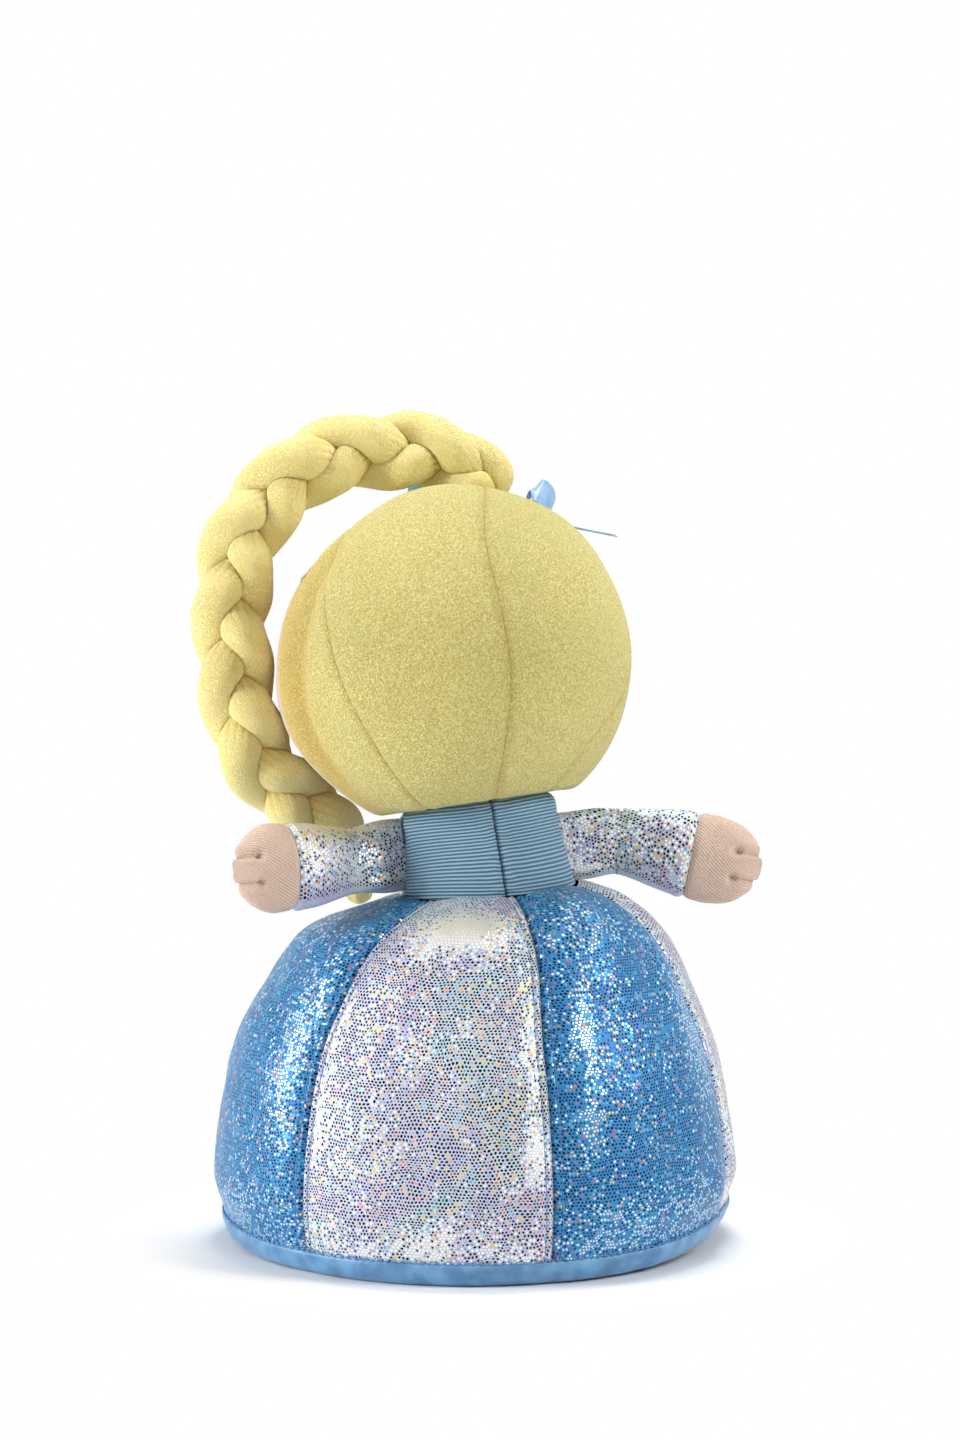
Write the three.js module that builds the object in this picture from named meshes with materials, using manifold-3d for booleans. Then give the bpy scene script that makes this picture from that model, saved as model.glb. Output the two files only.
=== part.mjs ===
// Plush doll: a stuffed head with sewn hair and a long plait, a ribbed bodice, two stuffed arms and a padded bell
// skirt that stands on its bound hem. Millimetres, +Z up, the doll faces -Y, and its left is +X.
// The origin is the centre of the skirt's base.
import * as THREE from "three";
import { mergeVertices } from "three/addons/utils/BufferGeometryUtils.js";
import Module from "manifold-3d";

const wasm = await Module();
wasm.setup();

// Cloth and clearances
const GAP = 0.3; // between pieces that touch
const SKIN = 1.2; // foil cloth, velour or rib fabric with its backing
const LINING = 0.9;
const BINDING = 0.9; // satin hem tape
const CUT_TOLERANCE = 0.12; // how far a cut surface may move when its slivers are merged

// Skirt: outer outline as [radius, height], from the hem to the waist
const BELLY_RADIUS = 90.3;
const HEM_RADIUS = BELLY_RADIUS - 3.1;
const BELLY_HEIGHT = 25;
const SHOULDER_RADIUS = 62.5; // where the bell turns over to its crown
const SHOULDER_HEIGHT = 105.3;
const WAIST_HEIGHT = 124.5;
const WAIST_RADIUS = 30.6;
const WAIST_HOLE_RADIUS = 22.5; // opening in the padding that the torso's stuffing passes through
const SKIRT_WALL = 7; // panel, padding and lining together
const CEILING_HEIGHT = 99; // flat top of the hollow under the skirt
const CEILING_RADIUS = 40;
const CROWN_START = 106; // height above which the crown leans towards the waist's place
const PANEL_COUNT = 6;
const FIRST_SEAM = 32.7; // degrees from +X
const SEAM_DRAW = 1.6; // how far a sewn seam lies below the puffed cloth beside it
const BINDING_HEIGHT = 8;
const PANEL_STEPS = 5; // facets across one panel

// Spine: the line from the waist's centre to the head's centre
const WAIST_X = -3;
const WAIST_Y = 6;
const HEAD_X = 5;
const HEAD_Y = -9;
const HEAD_RISE = 78.8; // above the waist
const WAIST_TILT_SHARE = 0.5; // share of the spine's lean that the waist seam follows

// Bodice, measured along the spine from the waist
const COLLAR_RADIUS = 26.5;
const TORSO_TOP = 18; // top of the torso's stuffing, where the neck's plug begins
const BODICE_SEAMS = [0, 87, 180, 360]; // side, centre back and side
const BODICE_STEP = 15; // degrees of one facet

// Head
const HEAD_RADIUS = 61.3;
const NECK_SEAT_RADIUS = 56; // ball at the bottom of the head, that turns in the neck's cup
const NECK_SEAT_ANGLE = 41; // degrees from the spine out to where the head swells from that ball
const HEAD_SWELL_ANGLE = 60; // and to where it has its full radius
const NECK_HOLE_ANGLE = 34; // edge of the skins round the neck
const CROWN_HOLE_ANGLE = 3; // gathered end of the hair panels
const CROWN_POLE = [-0.22, -0.41, 0.88]; // direction from the head's centre that the hair seams run up to
const HAIR_SEAMS = [-8, 33, 94, 147, 188]; // left to right round the back, in degrees from +X
const SLANT_POLARS = [60, 84, 104, 123, 142]; // degrees from the crown at which the slanted seams are given
const SEAM_SLANTS = [null, [-16, -4, 3, 8.5, 13], null, [16, 14, 9, -12, -22], null]; // degrees off each seam's azimuth
const FRINGE_SEAM = 262; // parting over the forehead
const FRINGE_EDGE = 66; // degrees from the crown down to the forehead's hairline
const HEAD_STEP = 12; // degrees of one facet

// Face, all of it embroidery
const EYE_WIDTH = 7;
const EYE_HEIGHT = 10;
const EYE_SPREAD = 22; // degrees of each eye from the face's middle
const EYE_LEVEL = -4; // degrees above the head's equator
const FACE_MIDDLE = 270;
const STITCH_RELIEF = 0.8;
const MOUTH_WIDTH = 14;
const MOUTH_LEVEL = -22;
const MOUTH_LINE = 1.2; // width of the mouth's line of stitches
const MOUTH_DROP = 2.2; // how far the middle of the smile hangs below its ends

// Arms: stations of the sleeve and hand along the arm, from the pivot at the flat sewn end
const ARM_LENGTH = 52; // pivot to fingertips
const ARM_ROOT_RADIUS = 10.6; // half height of the flat sewn end, round about the pivot
const ARM_ROOT_THICKNESS = 4.4;
const SLEEVE_LENGTH = 27; // pivot to wrist
const WRIST_HEIGHT = 30;
const WRIST_THICKNESS = 19;
const HAND_HEIGHT = 32;
const HAND_THICKNESS = 17;
const SLEEVE_SKIN = 1;
const TAB_THICKNESS = 4;
const TAB_REACH = 4; // thinnest part of the tab, at the arm's middle
const TAB_CUP_ANGLE = 48; // half angle of the arm's rounded end that the tab cups
const ARM_BACK = 15; // degrees that each arm is swept back at rest
const ARM_SIDES = [
  { side: "left", across: 0, along: 16, rise: 3.2 },
  { side: "right", across: 180, along: 10.6, rise: -20 },
];
const ARM_POINTS = 12; // round one section

// Braid: centre line as [azimuth, elevation, distance] from the head's centre, in degrees and head radii
const BRAID_ROUTE = [
  [-133, 58, 1.008],
  [-123, 63, 1.09],
  [-99, 66, 1.19],
  [-70, 63, 1.275],
  [-51, 56, 1.352],
  [-39, 50, 1.395],
  [-32, 41, 1.408],
  [-27, 31, 1.408],
  [-23, 21, 1.358],
  [-20, 10, 1.3],
  [-19, 0, 1.27],
  [-18, -10, 1.258],
  [-18, -19, 1.27],
  [-20, -29, 1.272],
  [-24, -38, 1.258],
  [-31, -47, 1.252],
  [-42, -54, 1.31],
  [-53, -58, 1.46],
  [-63, -59, 1.65],
  [-71, -58, 1.81],
];
const BRAID_FLAT_NORMAL = [0.25, 0.97, 0]; // the plait's flat side faces this way
const BRAID_HALF_WIDTH = 12.2;
const BRAID_HALF_DEPTH = 10.4;
const BRAID_PITCH = 80; // length in which one strand comes back to its side
const BRAID_ROOT_SHARE = 0.7; // width at the sewn root, as a share of the full width
const BRAID_END_SHARE = 0.5; // and at the tie
const BRAID_ROOT_LENGTH = 28; // in which the plait reaches its full width
const BRAID_END_LENGTH = 34; // in which it narrows to the tie
const BRAID_STATION = 5; // length of one facet
const STRAND_POINTS = 8; // round one strand
const STRAND_GAP = 1.2; // between two strands' flattened sides, before the facets' own error is cut away
const TIE_START = 250; // along the route
const TIE_LENGTH = 5;
const TIE_RADIUS = 6.4;
const TAIL_RADIUS = 6.2;
const BRAID_HINGE_PLACE = [-141, 50]; // azimuth and elevation of the line on the head that the braid lifts about

// Bow
const RIBBON_WIDTH = 12.7;
const RIBBON = 0.7;
const BOW_PLACE = [-131, 46.5]; // azimuth and elevation from the head's centre
const BOW_HEIGHT = 4.4; // ribbon's middle above the hair
const BOW_TURN = 158; // degrees that the loops are turned about the bow's own axis
const LOOP_LENGTH = 15;
const LOOP_RISE = 9.5;
const TAIL_LENGTH = 38;
const TAIL_DROP = 5.4; // how far a tail's end bends down towards the head
const KNOT_WIDTH = 6;
const KNOT_CLOTH = 1;

const DEG = Math.PI / 180;
const UP = new THREE.Vector3(0, 0, 1);
const WAIST = new THREE.Vector3(WAIST_X, WAIST_Y, WAIST_HEIGHT);
const HEAD = new THREE.Vector3(HEAD_X, HEAD_Y, WAIST_HEIGHT + HEAD_RISE);
const SPINE = HEAD.clone().sub(WAIST).normalize();
const SPINE_LENGTH = HEAD.distanceTo(WAIST);
const SPINE_TURN = new THREE.Quaternion().setFromUnitVectors(UP, SPINE);
const WAIST_TURN = new THREE.Quaternion().slerp(SPINE_TURN, WAIST_TILT_SHARE);
const CUP_RADIUS = NECK_SEAT_RADIUS + GAP;
const COLLAR_TOP = SPINE_LENGTH - Math.sqrt(CUP_RADIUS ** 2 - COLLAR_RADIUS ** 2) - GAP;

function smoothstep(low, high, value) {
  const t = Math.min(1, Math.max(0, (value - low) / (high - low)));
  return t * t * (3 - 2 * t);
}

function steps(from, to, count) {
  return Array.from({ length: count + 1 }, (_, i) => from + ((to - from) * i) / count);
}

// Direction at an azimuth and an elevation, both in degrees
function direction(azimuth, elevation) {
  const level = Math.cos(elevation * DEG);
  return new THREE.Vector3(
    level * Math.cos(azimuth * DEG),
    level * Math.sin(azimuth * DEG),
    Math.sin(elevation * DEG),
  );
}

// A closed mesh from triangles, with the ones that have collapsed to a line left out
function solidFrom(triangles) {
  const positions = [];
  for (const [a, b, c] of triangles) {
    const flat = a.distanceTo(b) < 1e-6 || b.distanceTo(c) < 1e-6 || c.distanceTo(a) < 1e-6;
    if (!flat) positions.push(...a.toArray(), ...b.toArray(), ...c.toArray());
  }
  const geometry = new THREE.BufferGeometry();
  geometry.setAttribute("position", new THREE.Float32BufferAttribute(positions, 3));
  return mergeVertices(geometry, 1e-4);
}

function quad(triangles, a, b, c, d) {
  triangles.push([a, b, c], [a, c, d]);
}

function fan(triangles, ring) {
  const middle = new THREE.Vector3();
  ring.forEach((p) => middle.addScaledVector(p, 1 / ring.length));
  ring.forEach((p, i) => triangles.push([middle, p, ring[(i + 1) % ring.length]]));
}

// A solid through closed rings of points, each ring counter-clockwise seen from the far end
function loft(rings, looped = false) {
  const triangles = [];
  const count = rings[0].length;
  const last = looped ? rings.length : rings.length - 1;
  for (let i = 0; i < last; i++) {
    const low = rings[i];
    const high = rings[(i + 1) % rings.length];
    for (let k = 0; k < count; k++) {
      const next = (k + 1) % count;
      quad(triangles, low[k], low[next], high[next], high[k]);
    }
  }
  if (!looped) {
    fan(triangles, [...rings[0]].reverse());
    fan(triangles, rings[rings.length - 1]);
  }
  return solidFrom(triangles);
}

// A piece of shell between two surfaces, each given as columns of points from its lower edge to its upper one.
// The columns run counter-clockwise seen from above, and close on themselves when ringed.
function shell(outer, inner, ringed = false) {
  const rings = outer.map((column, i) => [...column, ...[...inner[i]].reverse()]);
  const turned = rings.map((ring) => [...ring].reverse());
  if (ringed) return loft(turned, true);
  const triangles = [];
  const count = turned[0].length;
  for (let i = 0; i + 1 < turned.length; i++)
    for (let k = 0; k < count; k++) {
      const next = (k + 1) % count;
      quad(triangles, turned[i][k], turned[i][next], turned[i + 1][next], turned[i + 1][k]);
    }
  const end = outer.length - 1;
  for (let j = 0; j + 1 < outer[0].length; j++) {
    quad(triangles, outer[0][j], outer[0][j + 1], inner[0][j + 1], inner[0][j]);
    quad(triangles, outer[end][j + 1], outer[end][j], inner[end][j], inner[end][j + 1]);
  }
  return solidFrom(triangles);
}

function manifoldOf(geometry) {
  return new wasm.Manifold(
    new wasm.Mesh({
      numProp: 3,
      vertProperties: new Float32Array(geometry.getAttribute("position").array),
      triVerts: new Uint32Array(geometry.index.array),
    }),
  );
}

function geometryOf(manifold) {
  const mesh = manifold.getMesh();
  const geometry = new THREE.BufferGeometry();
  geometry.setAttribute("position", new THREE.Float32BufferAttribute(mesh.vertProperties, 3));
  geometry.setIndex(new THREE.BufferAttribute(new Uint32Array(mesh.triVerts), 1));
  return geometry;
}

// What is left of a solid after other solids are cut from it, without the slivers that the cuts leave
function cut(geometry, ...tools) {
  const left = tools.reduce((solid, tool) => solid.subtract(manifoldOf(tool)), manifoldOf(geometry));
  return geometryOf(left.simplify(CUT_TOLERANCE));
}

function finish(color, roughness, metalness = 0) {
  return new THREE.MeshStandardMaterial({ color, roughness, metalness });
}

const SILVER = finish(0xc8cddc, 0.35, 0.5);
const BLUE = finish(0x468cc3, 0.35, 0.4);
const SATIN = finish(0x6eaad7, 0.4);
const RIB = finish(0x82aabe, 0.8);
const VELOUR = finish(0xe8d98c, 0.95);
const PEACH = finish(0xe1c8b4, 0.9);
const FILLING = finish(0xf4f2ec, 1);
const LINING_CLOTH = finish(0x8fb4cc, 0.85);
const EYE_THREAD = finish(0x3a4a66, 0.6);
const MOUTH_THREAD = finish(0xc77b78, 0.7);

const doll = new THREE.Group();

function add(parent, name, geometry, material) {
  const mesh = new THREE.Mesh(geometry, material);
  mesh.name = name;
  parent.add(mesh);
  return mesh;
}

// Skirt

const SKIRT_OUTLINE = new THREE.SplineCurve(
  [
    [HEM_RADIUS, 0],
    [BELLY_RADIUS, BELLY_HEIGHT],
    [BELLY_RADIUS * 0.963, BELLY_HEIGHT + (SHOULDER_HEIGHT - BELLY_HEIGHT) * 0.36],
    [BELLY_RADIUS * 0.875, BELLY_HEIGHT + (SHOULDER_HEIGHT - BELLY_HEIGHT) * 0.68],
    [SHOULDER_RADIUS, SHOULDER_HEIGHT],
    [(SHOULDER_RADIUS + WAIST_RADIUS) / 2, SHOULDER_HEIGHT + (WAIST_HEIGHT - SHOULDER_HEIGHT) * 0.68],
    [WAIST_RADIUS, WAIST_HEIGHT],
    [WAIST_HOLE_RADIUS, WAIST_HEIGHT],
  ].map(([radius, height]) => new THREE.Vector2(radius, height)),
);
const OUTLINE_SAMPLES = SKIRT_OUTLINE.getPoints(700);

// Point of the outline where it first reaches a height, or comes in to a radius above its belly
function outlineAt(test) {
  return OUTLINE_SAMPLES.findIndex(test) / (OUTLINE_SAMPLES.length - 1);
}

// Radius and height at a place along the outline, a depth inside the outer cloth
function outlinePoint(t, depth) {
  const point = SKIRT_OUTLINE.getPoint(t);
  const along = SKIRT_OUTLINE.getTangent(Math.min(t, 0.999));
  return new THREE.Vector2(point.x - depth * along.y, point.y + depth * along.x);
}

// A point of the bell at an angle: level rings below, and rings that lean with the waist towards its top
function bellPoint(angle, radius, height) {
  const share = smoothstep(CROWN_START, WAIST_HEIGHT, height);
  const drift = smoothstep(BELLY_HEIGHT * 3, WAIST_HEIGHT, height);
  const turn = new THREE.Quaternion().slerp(WAIST_TURN, share);
  return new THREE.Vector3(radius * Math.cos(angle * DEG), radius * Math.sin(angle * DEG), 0)
    .applyQuaternion(turn)
    .add(new THREE.Vector3(WAIST_X * drift, WAIST_Y * drift, height));
}

// Cloth is drawn in at each seam between panels, and less so at the waist, where it is flat
function seamDraw(angle, t) {
  const pitch = 360 / PANEL_COUNT;
  const across = (((angle - FIRST_SEAM) % pitch) + pitch) % pitch;
  const puff = Math.sin((Math.PI * across) / pitch);
  return SEAM_DRAW * (1 - Math.sqrt(puff)) * smoothstep(1, 0.7, t);
}

function bellColumn(angle, places, depth) {
  return places.map((t) => {
    const { x, y } = outlinePoint(t, depth);
    return bellPoint(angle, x - seamDraw(angle, t), y);
  });
}

const BELL_STEP = 360 / PANEL_COUNT / PANEL_STEPS;
const BELL_ANGLES = Array.from({ length: PANEL_COUNT * PANEL_STEPS }, (_, i) => FIRST_SEAM + i * BELL_STEP);
const HEM_PLACE = outlineAt((p) => p.y > BINDING + GAP);
const WAIST_PLACE = outlineAt((p) => p.y > WAIST_HEIGHT - 0.5 && p.x < WAIST_RADIUS + 1);
const PANEL_PLACES = steps(HEM_PLACE, WAIST_PLACE, 11);

const panelGap = (GAP / 2 / BELLY_RADIUS) / DEG;
for (let i = 0; i < PANEL_COUNT; i++) {
  const first = FIRST_SEAM + i * PANEL_STEPS * BELL_STEP;
  const angles = steps(first, first + PANEL_STEPS * BELL_STEP, PANEL_STEPS);
  angles[0] += panelGap;
  angles[PANEL_STEPS] -= panelGap;
  const silver = i % 2 === 0;
  const name = "skirt_panel_" + (silver ? "silver_" : "blue_") + (Math.floor(i / 2) + 1);
  const outer = angles.map((a) => bellColumn(a, PANEL_PLACES, 0));
  const inner = angles.map((a) => bellColumn(a, PANEL_PLACES, SKIN));
  add(doll, name, shell(outer, inner), silver ? SILVER : BLUE);
}

// The hollow under the skirt: parallel to the outline up the wall, then a rounded edge to a flat ceiling
const WALL_TOP_PLACE = outlineAt((p) => p.y > CEILING_HEIGHT * 0.72);
const CORNER_PLACE = outlinePoint(WALL_TOP_PLACE, SKIRT_WALL);
function hollowColumn(angle, growth) {
  const wall = steps(HEM_PLACE, WALL_TOP_PLACE, 6).map((t) => {
    const { x, y } = outlinePoint(t, SKIRT_WALL - growth);
    return bellPoint(angle, x - seamDraw(angle, t), y);
  });
  const corner = [0.4, 0.75, 1].map((share) => {
    const turn = (share * Math.PI) / 2;
    const radius = CEILING_RADIUS + (CORNER_PLACE.x - CEILING_RADIUS + growth) * Math.cos(turn);
    const height = CORNER_PLACE.y + (CEILING_HEIGHT + growth - CORNER_PLACE.y) * Math.sin(turn);
    return bellPoint(angle, radius, height);
  });
  return [...wall, ...corner];
}

const paddingPlaces = [...PANEL_PLACES, 1];
const paddingInner = BELL_ANGLES.map((a) => [
  ...hollowColumn(a, LINING + GAP),
  bellPoint(a, WAIST_HOLE_RADIUS, CEILING_HEIGHT + LINING + GAP),
]);
const paddingOuter = BELL_ANGLES.map((a) => bellColumn(a, paddingPlaces, SKIN + GAP));
add(doll, "skirt_padding", shell(paddingOuter, paddingInner, true), FILLING);

// The lining is one cloth bell, closed at the top
function closedBell(growth) {
  const columns = BELL_ANGLES.map((a) => hollowColumn(a, growth));
  return columns[0].map((_, j) => columns.map((column) => column[j]));
}
function cupShell(outerRings, innerRings) {
  const triangles = [];
  const count = outerRings[0].length;
  const rim = outerRings[0];
  for (let k = 0; k < count; k++) {
    const next = (k + 1) % count;
    quad(triangles, rim[next], rim[k], innerRings[0][k], innerRings[0][next]);
    for (let i = 0; i + 1 < outerRings.length; i++) {
      quad(triangles, outerRings[i][k], outerRings[i][next], outerRings[i + 1][next], outerRings[i + 1][k]);
      quad(triangles, innerRings[i][k], innerRings[i + 1][k], innerRings[i + 1][next], innerRings[i][next]);
    }
  }
  fan(triangles, outerRings[outerRings.length - 1]);
  fan(triangles, [...innerRings[innerRings.length - 1]].reverse());
  return solidFrom(triangles);
}
add(doll, "skirt_lining", cupShell(closedBell(LINING), closedBell(0)), LINING_CLOTH);

// The binding wraps the edge: up the outside, under the wall and up the inside
function bindingRing(angle) {
  const at = (t, depth) => {
    const { x, y } = outlinePoint(t, depth);
    return bellPoint(angle, x - seamDraw(angle, t), Math.max(0, y));
  };
  const top = outlineAt((p) => p.y > BINDING_HEIGHT);
  const outside = -GAP - BINDING;
  const inside = SKIRT_WALL + GAP;
  const level = (point, height) => new THREE.Vector3(point.x, point.y, height);
  return [
    level(at(0, outside), 0),
    at(top, outside),
    at(top, -GAP),
    level(at(HEM_PLACE, -GAP), BINDING),
    level(at(HEM_PLACE, inside), BINDING),
    at(top, inside),
    at(top, inside + BINDING),
    level(at(0, inside + BINDING), 0),
  ].reverse();
}
add(doll, "hem_binding", loft(BELL_ANGLES.map(bindingRing), true), SATIN);

// Bodice and torso, in rings that turn from the waist's lean to the spine's

const COLLAR_TAPER = steps(0, 1, 6);
function bodiceRadius(along) {
  return WAIST_RADIUS + (COLLAR_RADIUS - WAIST_RADIUS) * smoothstep(-0.3, 1.15, along / COLLAR_TOP);
}

function torsoPoint(angle, along, radius) {
  const turn = WAIST_TURN.clone().slerp(SPINE_TURN, smoothstep(0, 0.5, along / COLLAR_TOP));
  return direction(angle, 0)
    .multiplyScalar(radius)
    .applyQuaternion(turn)
    .add(WAIST)
    .addScaledVector(SPINE, along);
}

function bodiceColumn(angle, depth) {
  return COLLAR_TAPER.map((share) => {
    const radius = bodiceRadius(share * COLLAR_TOP) - depth;
    const top = SPINE_LENGTH - Math.sqrt(CUP_RADIUS ** 2 - (COLLAR_RADIUS - depth) ** 2) - GAP;
    return torsoPoint(angle, GAP + share * (top - GAP), radius);
  });
}

const bodiceGap = (GAP / 2 / COLLAR_RADIUS) / DEG;
["bodice_back_left", "bodice_back_right", "bodice_front"].forEach((name, i) => {
  const from = BODICE_SEAMS[i];
  const to = BODICE_SEAMS[i + 1];
  const angles = steps(from, to, Math.round((to - from) / BODICE_STEP));
  angles[0] += bodiceGap;
  angles[angles.length - 1] -= bodiceGap;
  const outer = angles.map((a) => bodiceColumn(a, 0));
  const inner = angles.map((a) => bodiceColumn(a, SKIN));
  add(doll, name, shell(outer, inner), RIB);
});

const TORSO_ANGLES = BODICE_SEAMS.slice(0, 3).flatMap((from, i) => {
  const to = BODICE_SEAMS[i + 1];
  return steps(from, to, Math.round((to - from) / BODICE_STEP)).slice(0, -1);
});
const torsoInset = SKIN + GAP;
const plugRadius = WAIST_HOLE_RADIUS - 2 * GAP;
const torsoRing = (along, radius) => TORSO_ANGLES.map((a) => torsoPoint(a, along, radius));
const plugRing = (height) => TORSO_ANGLES.map((a) => bellPoint(a, plugRadius, height));
add(
  doll,
  "torso_stuffing",
  loft([
    plugRing(CEILING_HEIGHT + LINING + GAP),
    plugRing(WAIST_HEIGHT - SKIN - GAP),
    torsoRing(-SKIN + GAP, plugRadius),
    torsoRing(-SKIN + GAP, WAIST_RADIUS - torsoInset - GAP),
    ...steps(GAP, TORSO_TOP, 3).map((along) => torsoRing(along, bodiceRadius(along) - torsoInset)),
  ]),
  FILLING,
);

// The neck's plug turns on the spine inside the collar, and its cup carries the ball of the head

const neckTurn = new THREE.Group();
neckTurn.name = "neck_turn";
neckTurn.position.copy(WAIST);
neckTurn.quaternion.copy(SPINE_TURN);
doll.add(neckTurn);

const NECK_BASE = TORSO_TOP + GAP;
const NECK_FACETS = 24;
const neckRadius = (along) => bodiceRadius(along) * Math.cos(Math.PI / NECK_FACETS) - torsoInset - GAP;
const neckTop = neckRadius(COLLAR_TOP);
const cupProfile = steps(0, Math.asin(neckTop / CUP_RADIUS), 4).map(
  (angle) => new THREE.Vector2(CUP_RADIUS * Math.sin(angle), SPINE_LENGTH - CUP_RADIUS * Math.cos(angle)),
);
const neckProfile = [
  new THREE.Vector2(0, NECK_BASE),
  new THREE.Vector2(neckRadius(NECK_BASE), NECK_BASE),
  ...cupProfile.reverse(),
];
const neckRings = neckProfile.slice(1, -1).map(({ x, y }) =>
  steps(0, 360, NECK_FACETS)
    .slice(0, -1)
    .map((a) => direction(a, 0).multiplyScalar(x).setZ(y)),
);
add(neckTurn, "neck_stuffing", loft(neckRings), FILLING);

// Head, in directions from its centre. Its seams run from the crown down to the spine.

const head = new THREE.Group();
head.name = "head_nod";
head.position.copy(HEAD);
doll.add(head);

const CROWN_TURN = new THREE.Quaternion().setFromUnitVectors(UP, new THREE.Vector3(...CROWN_POLE).normalize());

function headDirection(azimuth, polar) {
  const turn = CROWN_TURN.clone().slerp(SPINE_TURN, smoothstep(20, 150, polar));
  return direction(azimuth, 90 - polar).applyQuaternion(turn);
}

// A seam's azimuth at a polar angle: the two side-back seams close in on the nape
function seamAzimuth(seam, polar) {
  const slants = SEAM_SLANTS[seam];
  if (!slants) return HAIR_SEAMS[seam];
  const last = SLANT_POLARS.length - 1;
  const place = Math.min(Math.max(polar, SLANT_POLARS[0]), SLANT_POLARS[last]);
  const i = Math.min(last - 1, SLANT_POLARS.findLastIndex((p) => p <= place));
  const share = (place - SLANT_POLARS[i]) / (SLANT_POLARS[i + 1] - SLANT_POLARS[i]);
  return HAIR_SEAMS[seam] + slants[i] + (slants[i + 1] - slants[i]) * share;
}

// An azimuth of the hair, moved with the seams on its two sides
function followSeams(azimuth, polar) {
  const seam = HAIR_SEAMS.findIndex((start, i) => azimuth >= start && azimuth < HAIR_SEAMS[i + 1]);
  if (seam < 0) return azimuth;
  const share = (azimuth - HAIR_SEAMS[seam]) / (HAIR_SEAMS[seam + 1] - HAIR_SEAMS[seam]);
  const from = seamAzimuth(seam, polar);
  return from + (seamAzimuth(seam + 1, polar) - from) * share;
}

// The ball of the neck below, and the full round of the head above it
function headRadius(towards) {
  const fromSpine = Math.acos(Math.min(1, -towards.dot(SPINE))) / DEG;
  const swell = smoothstep(NECK_SEAT_ANGLE, HEAD_SWELL_ANGLE, fromSpine);
  return NECK_SEAT_RADIUS + (HEAD_RADIUS - NECK_SEAT_RADIUS) * swell;
}

function headPoint(azimuth, polar, depth) {
  const towards = headDirection(followSeams(azimuth, polar), polar);
  return towards.clone().multiplyScalar(headRadius(towards) - depth);
}

const NECK_EDGE = 180 - NECK_HOLE_ANGLE;
const HEAD_POLARS = [
  ...steps(CROWN_HOLE_ANGLE, FRINGE_EDGE, 5),
  ...steps(FRINGE_EDGE, NECK_EDGE, 8).slice(1),
];
const FRINGE_POLARS = HEAD_POLARS.filter((p) => p <= FRINGE_EDGE + 1e-6);
const FACE_POLARS = HEAD_POLARS.filter((p) => p >= FRINGE_EDGE - 1e-6);

function headPanel(name, from, to, polars, material) {
  const angles = steps(from, to, Math.round((to - from) / HEAD_STEP));
  const edge = (GAP / 2 / HEAD_RADIUS) / DEG;
  angles[0] += edge;
  angles[angles.length - 1] -= edge;
  const down = [...polars].reverse();
  const outer = angles.map((a) => down.map((p) => headPoint(a, p, 0)));
  const inner = angles.map((a) => down.map((p) => headPoint(a, p, SKIN)));
  add(head, name, shell(outer, inner), material);
}

const FACE_START = HAIR_SEAMS[HAIR_SEAMS.length - 1];
const FACE_END = HAIR_SEAMS[0] + 360;
["hair_side_left", "hair_back_left", "hair_back_right", "hair_side_right"].forEach((name, i) => {
  headPanel(name, HAIR_SEAMS[i], HAIR_SEAMS[i + 1], HEAD_POLARS, VELOUR);
});
const lowerEdge = (GAP / HEAD_RADIUS) / DEG;
const fringePolars = FRINGE_POLARS.map((p, i) => (i === FRINGE_POLARS.length - 1 ? p - lowerEdge : p));
headPanel("fringe_right", FACE_START, FRINGE_SEAM, fringePolars, VELOUR);
headPanel("fringe_left", FRINGE_SEAM, FACE_END, fringePolars, VELOUR);

// The face's facets match those of the stuffing behind it, which keeps the parting's step
const faceAngles = [
  ...steps(FACE_START, FRINGE_SEAM, Math.round((FRINGE_SEAM - FACE_START) / HEAD_STEP)),
  ...steps(FRINGE_SEAM, FACE_END, Math.round((FACE_END - FRINGE_SEAM) / HEAD_STEP)).slice(1),
];
const faceEdge = (GAP / 2 / HEAD_RADIUS) / DEG;
const faceSides = faceAngles.map((a, i) => {
  if (i === 0) return a + faceEdge;
  return i === faceAngles.length - 1 ? a - faceEdge : a;
});
const faceDown = [...FACE_POLARS].reverse();
add(
  head,
  "face_panel",
  shell(
    faceSides.map((a) => faceDown.map((p) => headPoint(a, p, 0))),
    faceSides.map((a) => faceDown.map((p) => headPoint(a, p, SKIN))),
  ),
  PEACH,
);

const hairAngles = HAIR_SEAMS.slice(0, -1).flatMap((from, i) => {
  const to = HAIR_SEAMS[i + 1];
  return steps(from, to, Math.round((to - from) / HEAD_STEP)).slice(0, -1);
});
const STUFFING_AZIMUTHS = [...hairAngles, ...faceAngles.slice(0, -1)];
const skinDepth = SKIN + GAP;
const neckEdgePolar = NECK_EDGE + lowerEdge;
const seatPolars = [neckEdgePolar, 156, 168];
const stuffingRings = [
  ...[...seatPolars].reverse().map((p) => STUFFING_AZIMUTHS.map((a) => headPoint(a, p, 0))),
  ...[...HEAD_POLARS].reverse().map((p) => STUFFING_AZIMUTHS.map((a) => headPoint(a, p, skinDepth))),
];
add(head, "head_stuffing", loft(stuffingRings), FILLING);

// Embroidery follows the round of the head, just clear of the face's cloth

// The point over a place on the head, x along and z up from that place, at a height above the cloth
function onFace(azimuth, elevation) {
  const middle = direction(azimuth, elevation);
  const turn = new THREE.Quaternion().setFromUnitVectors(new THREE.Vector3(0, -1, 0), middle);
  return (x, z, lift) => {
    const flat = new THREE.Vector3(x, -HEAD_RADIUS, z).applyQuaternion(turn);
    return flat.normalize().multiplyScalar(HEAD_RADIUS + GAP + lift);
  };
}

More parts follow.
